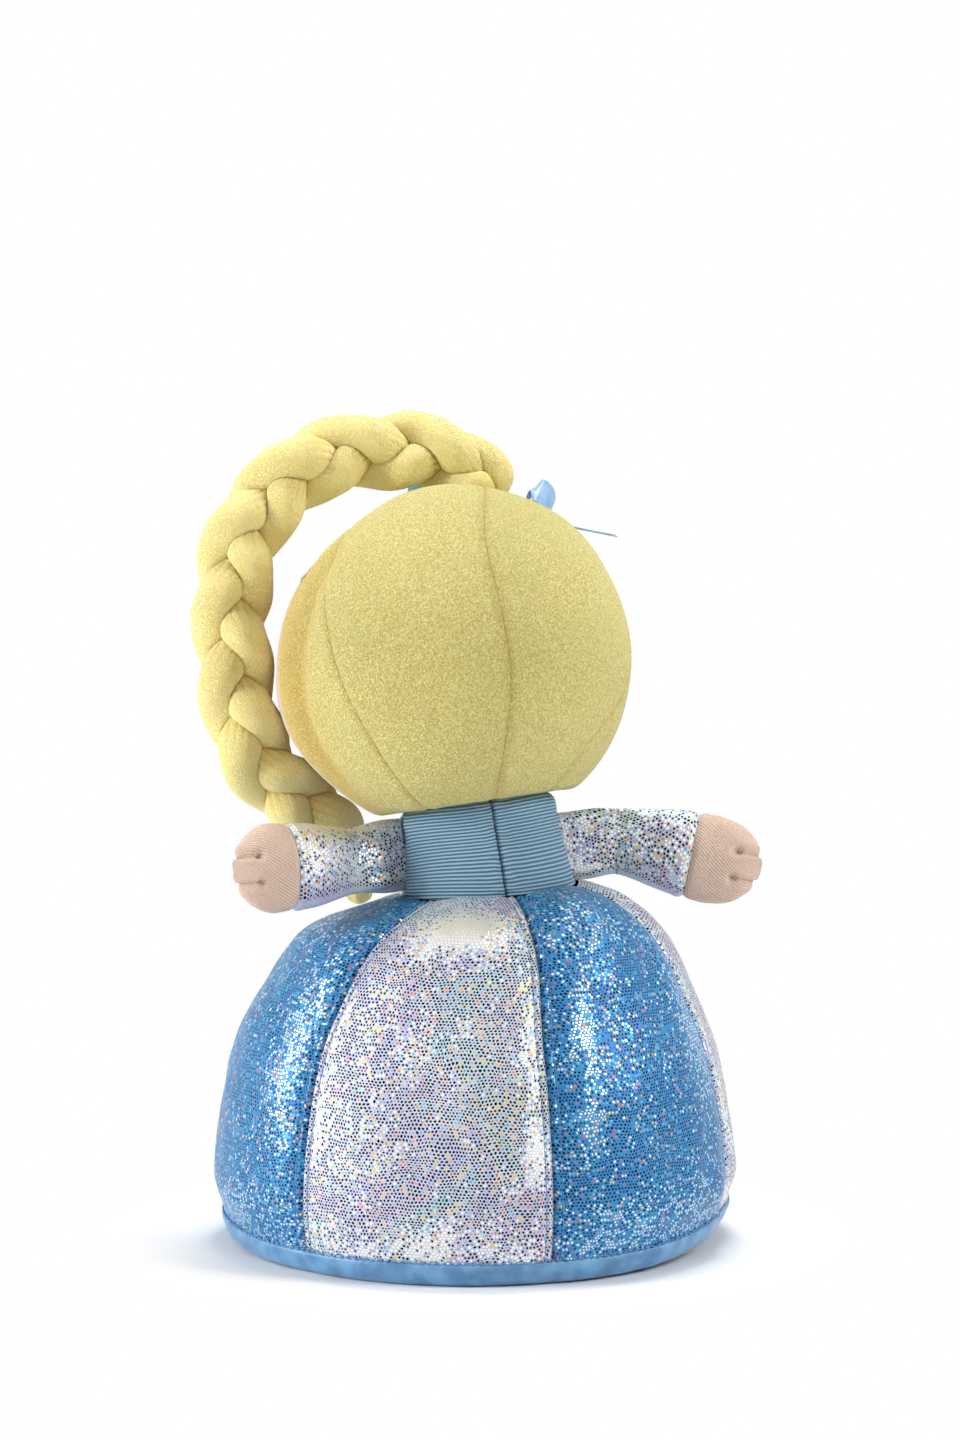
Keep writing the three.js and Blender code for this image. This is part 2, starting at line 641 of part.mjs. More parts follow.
const EYE_POINTS = 12;
const eyeOutline = steps(0, 2 * Math.PI, EYE_POINTS)
  .slice(0, -1)
  .map((t) => [(EYE_WIDTH / 2) * Math.cos(t), (EYE_HEIGHT / 2) * Math.sin(t)]);
for (const [name, turn] of [["right_eye", -EYE_SPREAD], ["left_eye", EYE_SPREAD]]) {
  const point = onFace(FACE_MIDDLE + turn, EYE_LEVEL);
  const rings = [0, STITCH_RELIEF].map((lift) => eyeOutline.map(([x, z]) => point(x, z, lift)));
  add(head, name, loft(rings), EYE_THREAD);
}

const mouthPoint = onFace(FACE_MIDDLE, MOUTH_LEVEL);
const mouthRings = steps(-MOUTH_WIDTH / 2, MOUTH_WIDTH / 2, 8).map((x) => {
  const low = MOUTH_DROP * ((2 * x) / MOUTH_WIDTH) ** 2 - MOUTH_LINE / 2;
  const high = low + MOUTH_LINE;
  return [
    mouthPoint(x, low, 0),
    mouthPoint(x, high, 0),
    mouthPoint(x, high, STITCH_RELIEF),
    mouthPoint(x, low, STITCH_RELIEF),
  ];
});
add(head, "mouth", loft(mouthRings), MOUTH_THREAD);

// Arms. The tab is the sleeve's flat end, sewn into the bodice's side seam, and the arm rises about the
// rounded end that the tab cups.

const TAB_NOSE = TAB_THICKNESS / 2;
const PIVOT_OFFSET = TAB_REACH + GAP + ARM_ROOT_RADIUS; // from the seam's hinge line to the arm's pivot
const TAB_CUP = ARM_ROOT_RADIUS + GAP;

function tabGeometry() {
  const cupTop = TAB_CUP * Math.sin(TAB_CUP_ANGLE * DEG);
  const levels = steps(-TAB_CUP_ANGLE, TAB_CUP_ANGLE, 8).map((angle) => {
    return [PIVOT_OFFSET - TAB_CUP * Math.cos(angle * DEG), TAB_CUP * Math.sin(angle * DEG)];
  });
  const top = cupTop + 1.5;
  const profile = [[1, -top], ...levels, [1, top]];
  const rings = profile.map(([reach, z]) => {
    const nose = steps(90, 270, 4).map((a) => direction(a, 0).multiplyScalar(TAB_NOSE).setZ(z));
    return [...nose, new THREE.Vector3(reach, -TAB_NOSE, z), new THREE.Vector3(reach, TAB_NOSE, z)];
  });
  return loft(rings);
}

// Half height and half thickness of the arm at a distance from its pivot
function armHalves(along) {
  if (along < 0) {
    const height = Math.sqrt(Math.max(0, ARM_ROOT_RADIUS ** 2 - along ** 2));
    return [height, ARM_ROOT_THICKNESS / 2 + ((along + ARM_ROOT_RADIUS) * 0.6) / ARM_ROOT_RADIUS];
  }
  const share = smoothstep(-0.35, 1, along / SLEEVE_LENGTH);
  const rootShare = smoothstep(-0.35, 1, 0);
  const grown = (share - rootShare) / (1 - rootShare);
  const rootHalf = ARM_ROOT_THICKNESS / 2 + 0.6;
  if (along <= SLEEVE_LENGTH)
    return [
      ARM_ROOT_RADIUS + (WRIST_HEIGHT / 2 - ARM_ROOT_RADIUS) * grown,
      rootHalf + (WRIST_THICKNESS / 2 - rootHalf) * grown,
    ];
  const handShare = (along - SLEEVE_LENGTH) / (ARM_LENGTH - SLEEVE_LENGTH);
  const round = Math.sqrt(Math.max(0, 1 - handShare ** 2.6));
  const swell = smoothstep(0, 0.35, handShare);
  return [
    (WRIST_HEIGHT / 2 + ((HAND_HEIGHT - WRIST_HEIGHT) / 2) * swell) * round,
    (WRIST_THICKNESS / 2 + ((HAND_THICKNESS - WRIST_THICKNESS) / 2) * swell) * round ** 1.3,
  ];
}

// A flattened ring across the arm, a depth inside its surface
function armRing(along, depth) {
  const [height, thickness] = armHalves(along).map((half) => Math.max(0.35, half - depth));
  return steps(0, 360, ARM_POINTS)
    .slice(0, -1)
    .map((a) => new THREE.Vector3(along, thickness * Math.cos(a * DEG), height * Math.sin(a * DEG)));
}

const armRoot = -ARM_ROOT_RADIUS;
const ROOT_STATIONS = [0.06, 0.3, 0.65].map((share) => armRoot * (1 - share));
const SLEEVE_STATIONS = [...ROOT_STATIONS, ...steps(0, SLEEVE_LENGTH, 4)];
const HAND_STATIONS = steps(0, 1, 5).map((share) => {
  const reach = Math.sin((share * Math.PI) / 2);
  return SLEEVE_LENGTH + GAP + (ARM_LENGTH - 0.4 - SLEEVE_LENGTH - GAP) * reach;
});
const stuffingDepth = SLEEVE_SKIN + GAP;

function squeeze(stations, depth, low, high) {
  return stations.map((along) => Math.min(Math.max(along, low), high)).map((along) => armRing(along, depth));
}

function sleeveGeometry() {
  const outer = SLEEVE_STATIONS.map((along) => armRing(along, 0)).reverse();
  const root = armRoot * 0.94 + SLEEVE_SKIN;
  const inner = SLEEVE_STATIONS.map((along, i) => armRing(i === 0 ? root : along, SLEEVE_SKIN)).reverse();
  return cupShell(
    outer.map((ring) => [...ring].reverse()),
    inner.map((ring) => [...ring].reverse()),
  );
}

function handGeometry() {
  const tip = HAND_STATIONS[HAND_STATIONS.length - 1] - SLEEVE_SKIN;
  const outer = HAND_STATIONS.map((along) => armRing(along, 0));
  const inner = HAND_STATIONS.map((along) => armRing(Math.min(along, tip), SLEEVE_SKIN));
  return cupShell(outer, inner);
}

function armStuffingGeometry() {
  const low = ROOT_STATIONS[1];
  const high = HAND_STATIONS[HAND_STATIONS.length - 1] - stuffingDepth;
  const stations = [...SLEEVE_STATIONS, ...HAND_STATIONS.slice(1)];
  return loft(squeeze(stations, stuffingDepth, low, high));
}

for (const { side, across, along, rise } of ARM_SIDES) {
  const sweep = new THREE.Group();
  sweep.name = side + "_arm_sweep";
  const widest = bodiceRadius(along - TAB_CUP);
  const seam = torsoPoint(across, along, widest + GAP + TAB_NOSE);
  sweep.position.copy(seam);
  const out = across === 0 ? ARM_BACK : across - ARM_BACK;
  sweep.quaternion.copy(SPINE_TURN).multiply(new THREE.Quaternion().setFromAxisAngle(UP, out * DEG));
  doll.add(sweep);
  add(sweep, side + "_arm_tab", tabGeometry(), SILVER);
  const raise = new THREE.Group();
  raise.name = side + "_arm_raise";
  raise.position.set(PIVOT_OFFSET, 0, 0);
  raise.rotation.y = -rise * DEG;
  sweep.add(raise);
  add(raise, side + "_sleeve", sleeveGeometry(), SILVER);
  add(raise, side + "_hand", handGeometry(), PEACH);
  add(raise, side + "_arm_stuffing", armStuffingGeometry(), FILLING);
}

// Braid: three stuffed strands, each cut back where its neighbours press on it

const braidRoute = BRAID_ROUTE.map(([azimuth, elevation, distance]) =>
  direction(azimuth, elevation).multiplyScalar(HEAD_RADIUS * distance),
);
const HINGE_FROM_HEAD = direction(...BRAID_HINGE_PLACE).multiplyScalar(HEAD_RADIUS);
const braidSwing = new THREE.Group();
braidSwing.name = "braid_swing";
braidSwing.position.copy(HINGE_FROM_HEAD);
head.add(braidSwing);
const braidPath = new THREE.CatmullRomCurve3(
  braidRoute.map((point) => point.sub(HINGE_FROM_HEAD)),
  false,
  "centripetal",
);
const BRAID_LENGTH = braidPath.getLength();

function braidFrame(along) {
  const t = Math.min(1, along / BRAID_LENGTH);
  const tangent = braidPath.getTangentAt(t);
  const flat = new THREE.Vector3(...BRAID_FLAT_NORMAL);
  const deep = flat.addScaledVector(tangent, -flat.dot(tangent)).normalize();
  return { middle: braidPath.getPointAt(t), side: deep.clone().cross(tangent), deep };
}

function braidShare(along) {
  const rooted = BRAID_ROOT_SHARE + (1 - BRAID_ROOT_SHARE) * smoothstep(-0.25, 1, along / BRAID_ROOT_LENGTH);
  return rooted * (1 + (BRAID_END_SHARE - 1) * smoothstep(TIE_START - BRAID_END_LENGTH, TIE_START, along));
}

// Middles of the three strands across the plait, in the pattern of a flat three-strand plait
function strandMiddles(along, share) {
  return [0, 1, 2].map((strand) => {
    const phase = 2 * Math.PI * (along / BRAID_PITCH + strand / 3);
    return new THREE.Vector2(
      0.47 * BRAID_HALF_WIDTH * share * Math.sin(phase),
      0.4 * BRAID_HALF_DEPTH * share * Math.sin(2 * phase),
    );
  });
}

// One strand's section: a round that its neighbours and the plait's outside flatten
function strandRing(strand, along, growth = 0) {
  const { middle, side, deep } = braidFrame(along);
  const share = braidShare(along);
  const middles = strandMiddles(along, share);
  const own = middles[strand];
  const reach = 0.66 * BRAID_HALF_WIDTH * share;
  return steps(0, 2 * Math.PI, STRAND_POINTS)
    .slice(0, -1)
    .map((angle) => {
      const ray = new THREE.Vector2(Math.cos(angle), Math.sin(angle));
      let length = reach * (1 - 0.18 * Math.abs(ray.y));
      middles.forEach((other, i) => {
        if (i === strand) return;
        const apart = other.clone().sub(own);
        const towards = ray.dot(apart.clone().normalize());
        if (towards > 0.05) length = Math.min(length, (apart.length() / 2 - STRAND_GAP / 2) / towards);
      });
      const point = own.clone().addScaledVector(ray, Math.max(0.5, length) + growth);
      return middle.clone().addScaledVector(side, point.x).addScaledVector(deep, point.y);
    });
}

const hairBall = geometryOf(wasm.Manifold.sphere(HEAD_RADIUS + GAP, 64).translate(...HINGE_FROM_HEAD.negate()));
const strandStations = steps(0, TIE_START - GAP, Math.round(TIE_START / BRAID_STATION));
for (const strand of [0, 1, 2]) {
  const strandLoft = (which, growth) => loft(strandStations.map((along) => strandRing(which, along, growth)));
  const pressedBy = [0, 1, 2].filter((other) => other < strand).map((other) => strandLoft(other, GAP));
  const strandSolid = cut(strandLoft(strand, 0), hairBall, ...pressedBy);
  add(braidSwing, "braid_strand_" + (strand + 1), strandSolid, VELOUR);
}

function braidRound(along, radius, points = 12) {
  const { middle, side, deep } = braidFrame(along);
  return steps(0, 2 * Math.PI, points)
    .slice(0, -1)
    .map((a) => {
      const across = radius * Math.cos(a);
      const through = radius * Math.sin(a);
      return middle.clone().addScaledVector(side, across).addScaledVector(deep, through);
    });
}

add(
  braidSwing,
  "braid_tie",
  loft([
    braidRound(TIE_START, TIE_RADIUS - 0.6),
    braidRound(TIE_START + TIE_LENGTH / 2, TIE_RADIUS),
    braidRound(TIE_START + TIE_LENGTH, TIE_RADIUS - 0.6),
  ]),
  SATIN,
);
const tailStart = TIE_START + TIE_LENGTH + GAP;
const tailStations = [0, 0.35, 0.7, 0.92, 1].map((share) => tailStart + (BRAID_LENGTH - tailStart) * share);
const tailShape = [0.72, 1, 0.92, 0.6, 0.25];
add(
  braidSwing,
  "braid_tail",
  loft(tailStations.map((along, i) => braidRound(along, TAIL_RADIUS * tailShape[i]))),
  VELOUR,
);

// Bow: a pinched ribbon loop, a ribbon across below it for the two tails, and the knot's band round both

const bow = new THREE.Group();
const bowOut = direction(...BOW_PLACE);
bow.position.copy(bowOut).multiplyScalar(HEAD_RADIUS + BOW_HEIGHT);
bow.quaternion
  .setFromUnitVectors(UP, bowOut)
  .multiply(new THREE.Quaternion().setFromAxisAngle(UP, BOW_TURN * DEG));
head.add(bow);

const PINCH_WIDTH = RIBBON_WIDTH / 2;
const PINCH_REACH = KNOT_WIDTH / 2 + 0.5; // the ribbons stay pinched until they are clear of the knot
const PINCH_LIFT = RIBBON / 2 + GAP / 2;

// Ribbon laid along a path in the bow's upright plane, gathered to the pinch at its middle
function ribbon(path, looped) {
  const rings = path.map(([x, z], i) => {
    const before = path[looped ? (i + path.length - 1) % path.length : Math.max(0, i - 1)];
    const after = path[looped ? (i + 1) % path.length : Math.min(path.length - 1, i + 1)];
    const along = new THREE.Vector2(after[0] - before[0], after[1] - before[1]).normalize();
    const half = (PINCH_WIDTH + (RIBBON_WIDTH - PINCH_WIDTH) * smoothstep(PINCH_REACH, PINCH_REACH + RIBBON_WIDTH / 3, Math.abs(x))) / 2;
    const corner = (across, lift) =>
      new THREE.Vector3(x - (along.y * lift * RIBBON) / 2, across * half, z + (along.x * lift * RIBBON) / 2);
    return [corner(-1, -1), corner(1, -1), corner(1, 1), corner(-1, 1)];
  });
  return loft(rings, looped);
}

const rightLoop = [
  [0, PINCH_LIFT],
  [PINCH_REACH, PINCH_LIFT],
  [LOOP_LENGTH * 0.34, PINCH_LIFT + LOOP_RISE * 0.55],
  [LOOP_LENGTH * 0.6, PINCH_LIFT + LOOP_RISE * 0.82],
  [LOOP_LENGTH * 0.86, PINCH_LIFT + LOOP_RISE * 0.62],
  [LOOP_LENGTH, PINCH_LIFT + LOOP_RISE * 0.2],
  [LOOP_LENGTH * 0.9, -PINCH_LIFT],
  [LOOP_LENGTH * 0.55, -PINCH_LIFT],
  [PINCH_REACH, -PINCH_LIFT],
  [0, -PINCH_LIFT],
];
const leftLoop = rightLoop.slice(1, -1).map(([x, z]) => [-x, z]);
add(bow, "bow_loops", ribbon([...rightLoop, ...leftLoop.reverse()], true), SATIN);

const tailLift = -PINCH_LIFT - RIBBON - GAP;
const tailReaches = steps(PINCH_REACH, TAIL_LENGTH, 6);
const tailPath = [...tailReaches.map((x) => -x).reverse(), ...tailReaches].map((x) => {
  return [x, tailLift - TAIL_DROP * ((Math.abs(x) - PINCH_REACH) / (TAIL_LENGTH - PINCH_REACH)) ** 2];
});
add(bow, "bow_tails", ribbon(tailPath, false), SATIN);

const knotInside = [PINCH_WIDTH / 2 + GAP, (PINCH_LIFT + RIBBON / 2 - tailLift + RIBBON / 2) / 2 + GAP];
const knotMiddle = (PINCH_LIFT + tailLift) / 2;
function knotRing(growth, x) {
  const [half, lift] = knotInside.map((value) => value + growth);
  const corners = [[1, 0.5], [0.55, 1], [-0.55, 1], [-1, 0.5], [-1, -0.5], [-0.55, -1], [0.55, -1], [1, -0.5]];
  return corners.map(([y, z]) => new THREE.Vector3(x, y * half * 1.12, knotMiddle + z * lift * 1.12));
}
const knotColumns = knotRing(0, 0).map((_, i) => [
  knotRing(0.3, -KNOT_WIDTH / 2)[i],
  knotRing(0.3, KNOT_WIDTH / 2)[i],
  knotRing(0.3 + KNOT_CLOTH, KNOT_WIDTH / 2)[i],
  knotRing(0.3 + KNOT_CLOTH, -KNOT_WIDTH / 2)[i],
]);
add(bow, "bow_knot", loft(knotColumns, true), SATIN);

export default doll;
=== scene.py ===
"""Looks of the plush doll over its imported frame. The shapes repeat part.mjs's formulas, in millimetres."""

import math

import bpy
import numpy as np
from mathutils import Matrix, Quaternion, Vector


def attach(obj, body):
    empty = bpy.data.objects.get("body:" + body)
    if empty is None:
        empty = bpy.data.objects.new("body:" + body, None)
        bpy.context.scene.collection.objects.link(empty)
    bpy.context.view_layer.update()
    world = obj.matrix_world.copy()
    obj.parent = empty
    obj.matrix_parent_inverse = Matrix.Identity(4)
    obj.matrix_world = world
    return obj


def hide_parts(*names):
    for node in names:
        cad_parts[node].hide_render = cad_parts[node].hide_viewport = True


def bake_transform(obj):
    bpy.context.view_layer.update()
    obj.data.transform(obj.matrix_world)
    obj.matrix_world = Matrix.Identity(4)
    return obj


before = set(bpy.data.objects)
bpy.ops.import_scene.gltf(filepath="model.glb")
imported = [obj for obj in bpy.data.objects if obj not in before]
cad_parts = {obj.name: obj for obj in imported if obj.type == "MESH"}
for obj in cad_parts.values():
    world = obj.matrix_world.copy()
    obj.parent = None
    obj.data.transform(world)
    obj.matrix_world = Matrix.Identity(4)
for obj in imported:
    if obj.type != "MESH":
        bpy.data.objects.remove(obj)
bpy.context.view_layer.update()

MM = 0.001
DEG = math.pi / 180

# Skirt
BELLY_RADIUS, BELLY_HEIGHT = 90.3, 25.0
HEM_RADIUS = BELLY_RADIUS - 3.1
SHOULDER_RADIUS, SHOULDER_HEIGHT = 62.5, 105.3
WAIST_RADIUS, WAIST_HEIGHT, WAIST_HOLE_RADIUS = 30.6, 124.5, 22.5
SKIRT_WALL, CEILING_HEIGHT, CEILING_RADIUS, CROWN_START = 7.0, 99.0, 40.0, 106.0
PANEL_COUNT, FIRST_SEAM, SEAM_DRAW = 6, 32.7, 1.6
STITCH_PITCH, PUCKER_PITCH = 2.9, 3.4
HEM_ROW_RADIUS, HEM_ROW_HEIGHT, HEM_ROW_OUT = 89, 8.75, 0.35  # the zigzag over the binding's upper edge
BINDING_THICKNESS, RIBBON_THICKNESS = 0.0005, 0.0004  # in metres
DOT_PITCH = (1.3, 2.25)
SEAM_BAND = 3.0  # from a seam to its row of topstitching
HEM_LIFTS = [(165, 38, 5.5), (345, 25, 1.8)]  # where the hem stands off the floor: angle, spread and height
LEFT_PUFF_ANGLE, TAIL_DENT_ANGLE = 345, 296
PANEL_FLAT_RADIUS, BINDING_FLAT_RADIUS, BODICE_FLAT_RADIUS = 86, 88, 29  # for distances round the cloth

# Spine, bodice and head
WAIST = np.array([-3.0, 6.0, WAIST_HEIGHT])
HEAD = np.array([5.0, -9.0, WAIST_HEIGHT + 78.8])
COLLAR_RADIUS, TORSO_TOP = 26.5, 18.0
BODICE_SEAMS = [0, 87, 180, 360]
RIB_PITCH, LOOP_PITCH, RIB_DEPTH, TORSO_FILL_INSET = 1.18, 0.95, 0.34, 2.4
HEAD_RADIUS, NECK_SEAT_RADIUS = 61.3, 56.0
NECK_EDGE, CROWN_EDGE = 158.0, 1.0
HAIR_SEAMS = np.array([-8, 33, 94, 147, 188])
BACK_SEAM = 94
SLANT_POLARS = [60, 84, 104, 123, 142]
SEAM_SLANTS = {1: [-16, -4, 3, 8.5, 13], 2: [-11, -3, 0, -3, -7], 3: [16, 14, 9, -12, -22]}
FRINGE_SEAM, FRINGE_EDGE = 262, 66
FACE_START, FACE_MIDDLE, FACE_END = 188, 270, 352
GAP = 0.3

# Arms
ARM_LENGTH, ARM_ROOT_RADIUS, ARM_ROOT_THICKNESS, SLEEVE_LENGTH = 52.0, 10.6, 4.4, 27.0
WRIST_HEIGHT, WRIST_THICKNESS, HAND_HEIGHT, HAND_THICKNESS = 30.0, 19.0, 32.0, 17.0
TAB_THICKNESS, TAB_REACH, ARM_BACK = 4.0, 4.0, 15
FINGER_TUCKS = (-5.2, 5.0)  # heights of the stitched tucks on a hand
LEFT_HAND_SHORTER = 3.5
SEWN_HALF_HEIGHT = 12.2  # of a sleeve's flat end
ARM_FILL_INSET, ARM_FILL_START, ARM_FILL_SHORTER = 2.2, -7, 13
# Each side's name, its seam's azimuth and height on the bodice, and how many degrees the arm rises
ARM_SIDES = [("left", 0, 16.0, 3.2), ("right", 180, 10.6, -20.0)]

# Braid: centre line as azimuth, elevation and distance from the head's centre, in degrees and head radii
BRAID_ROUTE = [
    (-133, 58, 1.008), (-123, 63, 1.09), (-99, 66, 1.19), (-70, 63, 1.275), (-51, 56, 1.352),
    (-39, 50, 1.395), (-32, 41, 1.408), (-27, 31, 1.408), (-23, 21, 1.358), (-20, 10, 1.3),
    (-19, 0, 1.27), (-18, -10, 1.258), (-18, -19, 1.27), (-20, -29, 1.272), (-24, -38, 1.258),
    (-31, -47, 1.252), (-42, -54, 1.31), (-53, -58, 1.46), (-63, -59, 1.65), (-71, -58, 1.81),
]
BRAID_FLAT_NORMAL = np.array([0.25, 0.97, 0.0])
BRAID_HALF_WIDTH, BRAID_HALF_DEPTH, BRAID_PITCH = 12.2, 10.4, 80.0
BRAID_ROOT_SHARE, BRAID_END_SHARE, BRAID_ROOT_LENGTH, BRAID_END_LENGTH = 0.7, 0.5, 28.0, 34.0
TIE_START, TIE_LENGTH, TIE_RADIUS, TAIL_RADIUS = 250.0, 5.0, 6.4, 6.2
TAIL_SHARE = 0.78  # of the route's last stretch
STRAND_SWING = (0.47 * BRAID_HALF_WIDTH, 0.4 * BRAID_HALF_DEPTH)  # of a strand's middle, to the side and deep
STRAND_RADIUS = 0.7 * BRAID_HALF_WIDTH  # where no other strand presses on it

# Bow
RIBBON_WIDTH, RIBBON, BOW_PLACE, BOW_HEIGHT, BOW_TURN = 12.7, 0.7, (-131, 46.5), 4.4, 158
LOOP_LENGTH, LOOP_RISE, TAIL_LENGTH, TAIL_DROP, KNOT_WIDTH = 12.5, 11.0, 38.0, -1.5, 6.0
LOOP_TWIST, TAIL_TWIST = 72, 31


def ramp(low, high, value):
    t = np.clip((value - low) / (high - low), 0, 1)
    return t * t * (3 - 2 * t)


def hump(value, centre, width):
    return np.exp(-(((value - centre) / width) ** 2))


def unit(vectors):
    return vectors / np.linalg.norm(vectors, axis=-1, keepdims=True)


def together(*values):
    """Numbers and arrays of them, spread to arrays of one shape."""
    return np.broadcast_arrays(*(np.asarray(value, float) for value in values))


def stacked(*parts):
    """Arrays spread to one shape, as the coordinates of points."""
    return np.stack(np.broadcast_arrays(*parts), -1)


def turned_from(angle, middle):
    """Degrees from the middle to the angle, between -180 and 180."""
    return (angle - middle + 180) % 360 - 180


def distances(points):
    """How far each of a row of points is from the first, along the row."""
    return np.concatenate([[0], np.cumsum(np.linalg.norm(np.diff(points, axis=0), axis=-1))])


def piece_columns(close, first, step, width, spare):
    """Places across a piece of cloth: close ones at both edges, and even ones between."""
    side = np.concatenate([close, np.arange(first, width - spare, step)])
    return np.concatenate([side, (width - side[: len(close)])[::-1]])


def cubic(start, end, leaving, arriving, w):
    """The cubic curve from start to end that leaves and arrives at these rates, at shares w of its run."""
    third = 2 * start - 2 * end + leaving + arriving
    second = -3 * start + 3 * end - 2 * leaving - arriving
    return third * w**3 + second * w**2 + leaving * w + start


def wobble(points, size, seed):
    """A smooth, uneven swell between about -1 and 1, with humps about size across."""
    rng = np.random.default_rng(seed)
    total = 0
    for _ in range(7):
        way = unit(rng.normal(size=3))
        turns = 2 * math.pi / size * rng.uniform(0.6, 1.4)
        total = total + np.sin(points @ way * turns + rng.uniform(0, 6.283))
    return total / 3


def direction(azimuth, elevation=0.0):
    azimuth, elevation = together(azimuth, elevation)
    level = np.cos(elevation * DEG)
    return stacked(level * np.cos(azimuth * DEG), level * np.sin(azimuth * DEG), np.sin(elevation * DEG))


UP = np.array([0.0, 0.0, 1.0])
SPINE = unit(HEAD - WAIST)
SPINE_LENGTH = float(np.linalg.norm(HEAD - WAIST))
LEAN_AXIS = unit(np.cross(UP, SPINE))
LEAN = math.acos(SPINE[2])


def leaned(vectors, share):
    """Vectors turned by a share of the spine's lean."""
    angle = np.asarray(share * LEAN)[..., None]
    across = np.cross(LEAN_AXIS, vectors)
    along = (vectors @ LEAN_AXIS)[..., None] * LEAN_AXIS
    return vectors * np.cos(angle) + across * np.sin(angle) + along * (1 - np.cos(angle))


# Meshes


def linked(name, data):
    obj = bpy.data.objects.new(name, data)
    bpy.context.scene.collection.objects.link(obj)
    return obj


def mesh_object(name, points, faces, uvs, material, mark=None):
    """faces is a list of arrays of corners, and uvs has a row for each corner.
    mark is each point's place from 0 to 1 in its cloth's colours: how much painted shade it takes in folds,
    seams and creases, or how much painted highlight its foil takes."""
    mesh = bpy.data.meshes.new(name)
    mesh.vertices.add(len(points))
    mesh.vertices.foreach_set("co", (np.asarray(points, float) * MM).ravel())
    corners = np.concatenate([f.ravel() for f in faces]).astype(np.int32)
    counts = np.concatenate([np.full(len(f), f.shape[1]) for f in faces])
    mesh.loops.add(len(corners))
    mesh.loops.foreach_set("vertex_index", corners)
    mesh.polygons.add(len(counts))
    mesh.polygons.foreach_set("loop_start", np.concatenate([[0], np.cumsum(counts)[:-1]]).astype(np.int32))
    mesh.update(calc_edges=True)
    layer = mesh.uv_layers.new(name="cloth")
    layer.data.foreach_set("uv", np.asarray(uvs, np.float32).ravel())
    mesh.polygons.foreach_set("use_smooth", np.ones(len(counts), bool))
    mesh.materials.append(material)
    if mark is not None:
        mesh.attributes.new("mark", "FLOAT", "POINT").data.foreach_set("value", np.asarray(mark, np.float32))
    mesh.update()
    return linked(name, mesh)


def sheet_mesh(name, grid, uv, material, closed=False, capped=(False, False), mark=None):
    """A surface through a grid of points [across][along], with its outside where across x along points.
    A closed one has its first column's points again after the last, and uv has that extra column."""
    count, rows = grid.shape[:2]
    index = np.arange(count * rows).reshape(count, rows)
    if closed:
        index = np.concatenate([index, index[:1]])
    low, high = index[:-1], index[1:]
    quads = stacked(low[:, :-1], high[:, :-1], high[:, 1:], low[:, 1:]).reshape(-1, 4)
    corner_uv = np.stack([uv[:-1, :-1], uv[1:, :-1], uv[1:, 1:], uv[:-1, 1:]], 2).reshape(-1, 2)
    points, faces, uvs = [grid.reshape(-1, 3)], [quads], [corner_uv]
    total = count * rows
    for end, wanted in zip((0, -1), capped):
        if not wanted:
            continue
        rim = index[:-1, end] if closed else index[:, end]
        after = np.roll(rim, -1)
        middle = np.full(len(rim), total)
        order = [rim, middle, after] if end == 0 else [rim, after, middle]
        faces.append(np.stack(order, -1))
        points.append(grid[:, end].mean(0)[None])
        uvs.append(np.zeros((len(rim) * 3, 2)))
        total += 1
    points = np.concatenate(points)
    if mark is not None:
        mark = np.concatenate([mark.ravel(), np.zeros(len(points) - mark.size)])
    return mesh_object(name, points, faces, np.concatenate(uvs), material, mark)


def tube_uv(grid):
    """UVs in millimetres for a closed tube of rings: round it, and along it."""
    loop = np.concatenate([grid, grid[:1]])
    round_it = np.concatenate([[0], np.cumsum(np.linalg.norm(np.diff(loop, axis=0), axis=-1).mean(1))])
    along = np.concatenate([[0], np.cumsum(np.linalg.norm(np.diff(grid, axis=1), axis=-1).mean(0))])
    return stacked(round_it[:, None], along)


def tube(name, rings, material, mark=None):
    """A closed tube through rings [along][round]."""
    grid = np.swapaxes(np.asarray(rings), 0, 1)
    mark = None if mark is None else mark.T
    return sheet_mesh(name, grid, tube_uv(grid), material, closed=True, capped=(True, True), mark=mark)


def stitches(name, places, ways, material, length, radius):
    """Small rounded stitches at places, each laid along its way."""
    rings = np.array([-1.0, -0.75, 0.75, 1.0]) * length / 2
    sizes = np.array([0.35, 1.0, 1.0, 0.35]) * radius
    sides = 6
    ways = unit(ways)
    helper = np.where(np.abs(ways[:, 2:]) < 0.9, UP, np.array([1.0, 0, 0]))
    first = unit(np.cross(ways, helper))
    second = np.cross(ways, first)
    turn = np.arange(sides) * 2 * math.pi / sides
    spokes = first[:, None] * np.cos(turn)[:, None] + second[:, None] * np.sin(turn)[:, None]
    middles = places[:, None, None] + ways[:, None, None] * rings[:, None, None]
    flat = (middles + spokes[:, None] * sizes[:, None, None]).reshape(-1, 3)
    index = np.arange(len(rings) * sides).reshape(len(rings), sides)
    low, high = index[:-1], index[1:]
    quads = stacked(low, high, np.roll(high, -1, 1), np.roll(low, -1, 1)).reshape(-1, 4)
    first_points = np.arange(len(places))[:, None, None] * index.size
    quads = (first_points + quads).reshape(-1, 4)
    caps = (first_points + np.array([index[0], index[-1, ::-1]])).reshape(-1, sides)
    order = np.concatenate([quads.ravel(), caps.ravel()])
    return mesh_object(name, flat, [quads, caps], flat[order][:, :2], material)


def thicken(obj, metres, offset):
    solid = obj.modifiers.new("cloth", "SOLIDIFY")
    solid.thickness, solid.offset = metres, offset


def finish_piece(obj, body, slot, *nodes):
    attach(obj, body)
    if nodes:
        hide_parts(*nodes)
    return obj


# Materials


def srgb(red, green, blue):
    def linear(value):
        value /= 255
        return value / 12.92 if value <= 0.04045 else ((value + 0.055) / 1.055) ** 2.4

    return (linear(red), linear(green), linear(blue), 1.0)


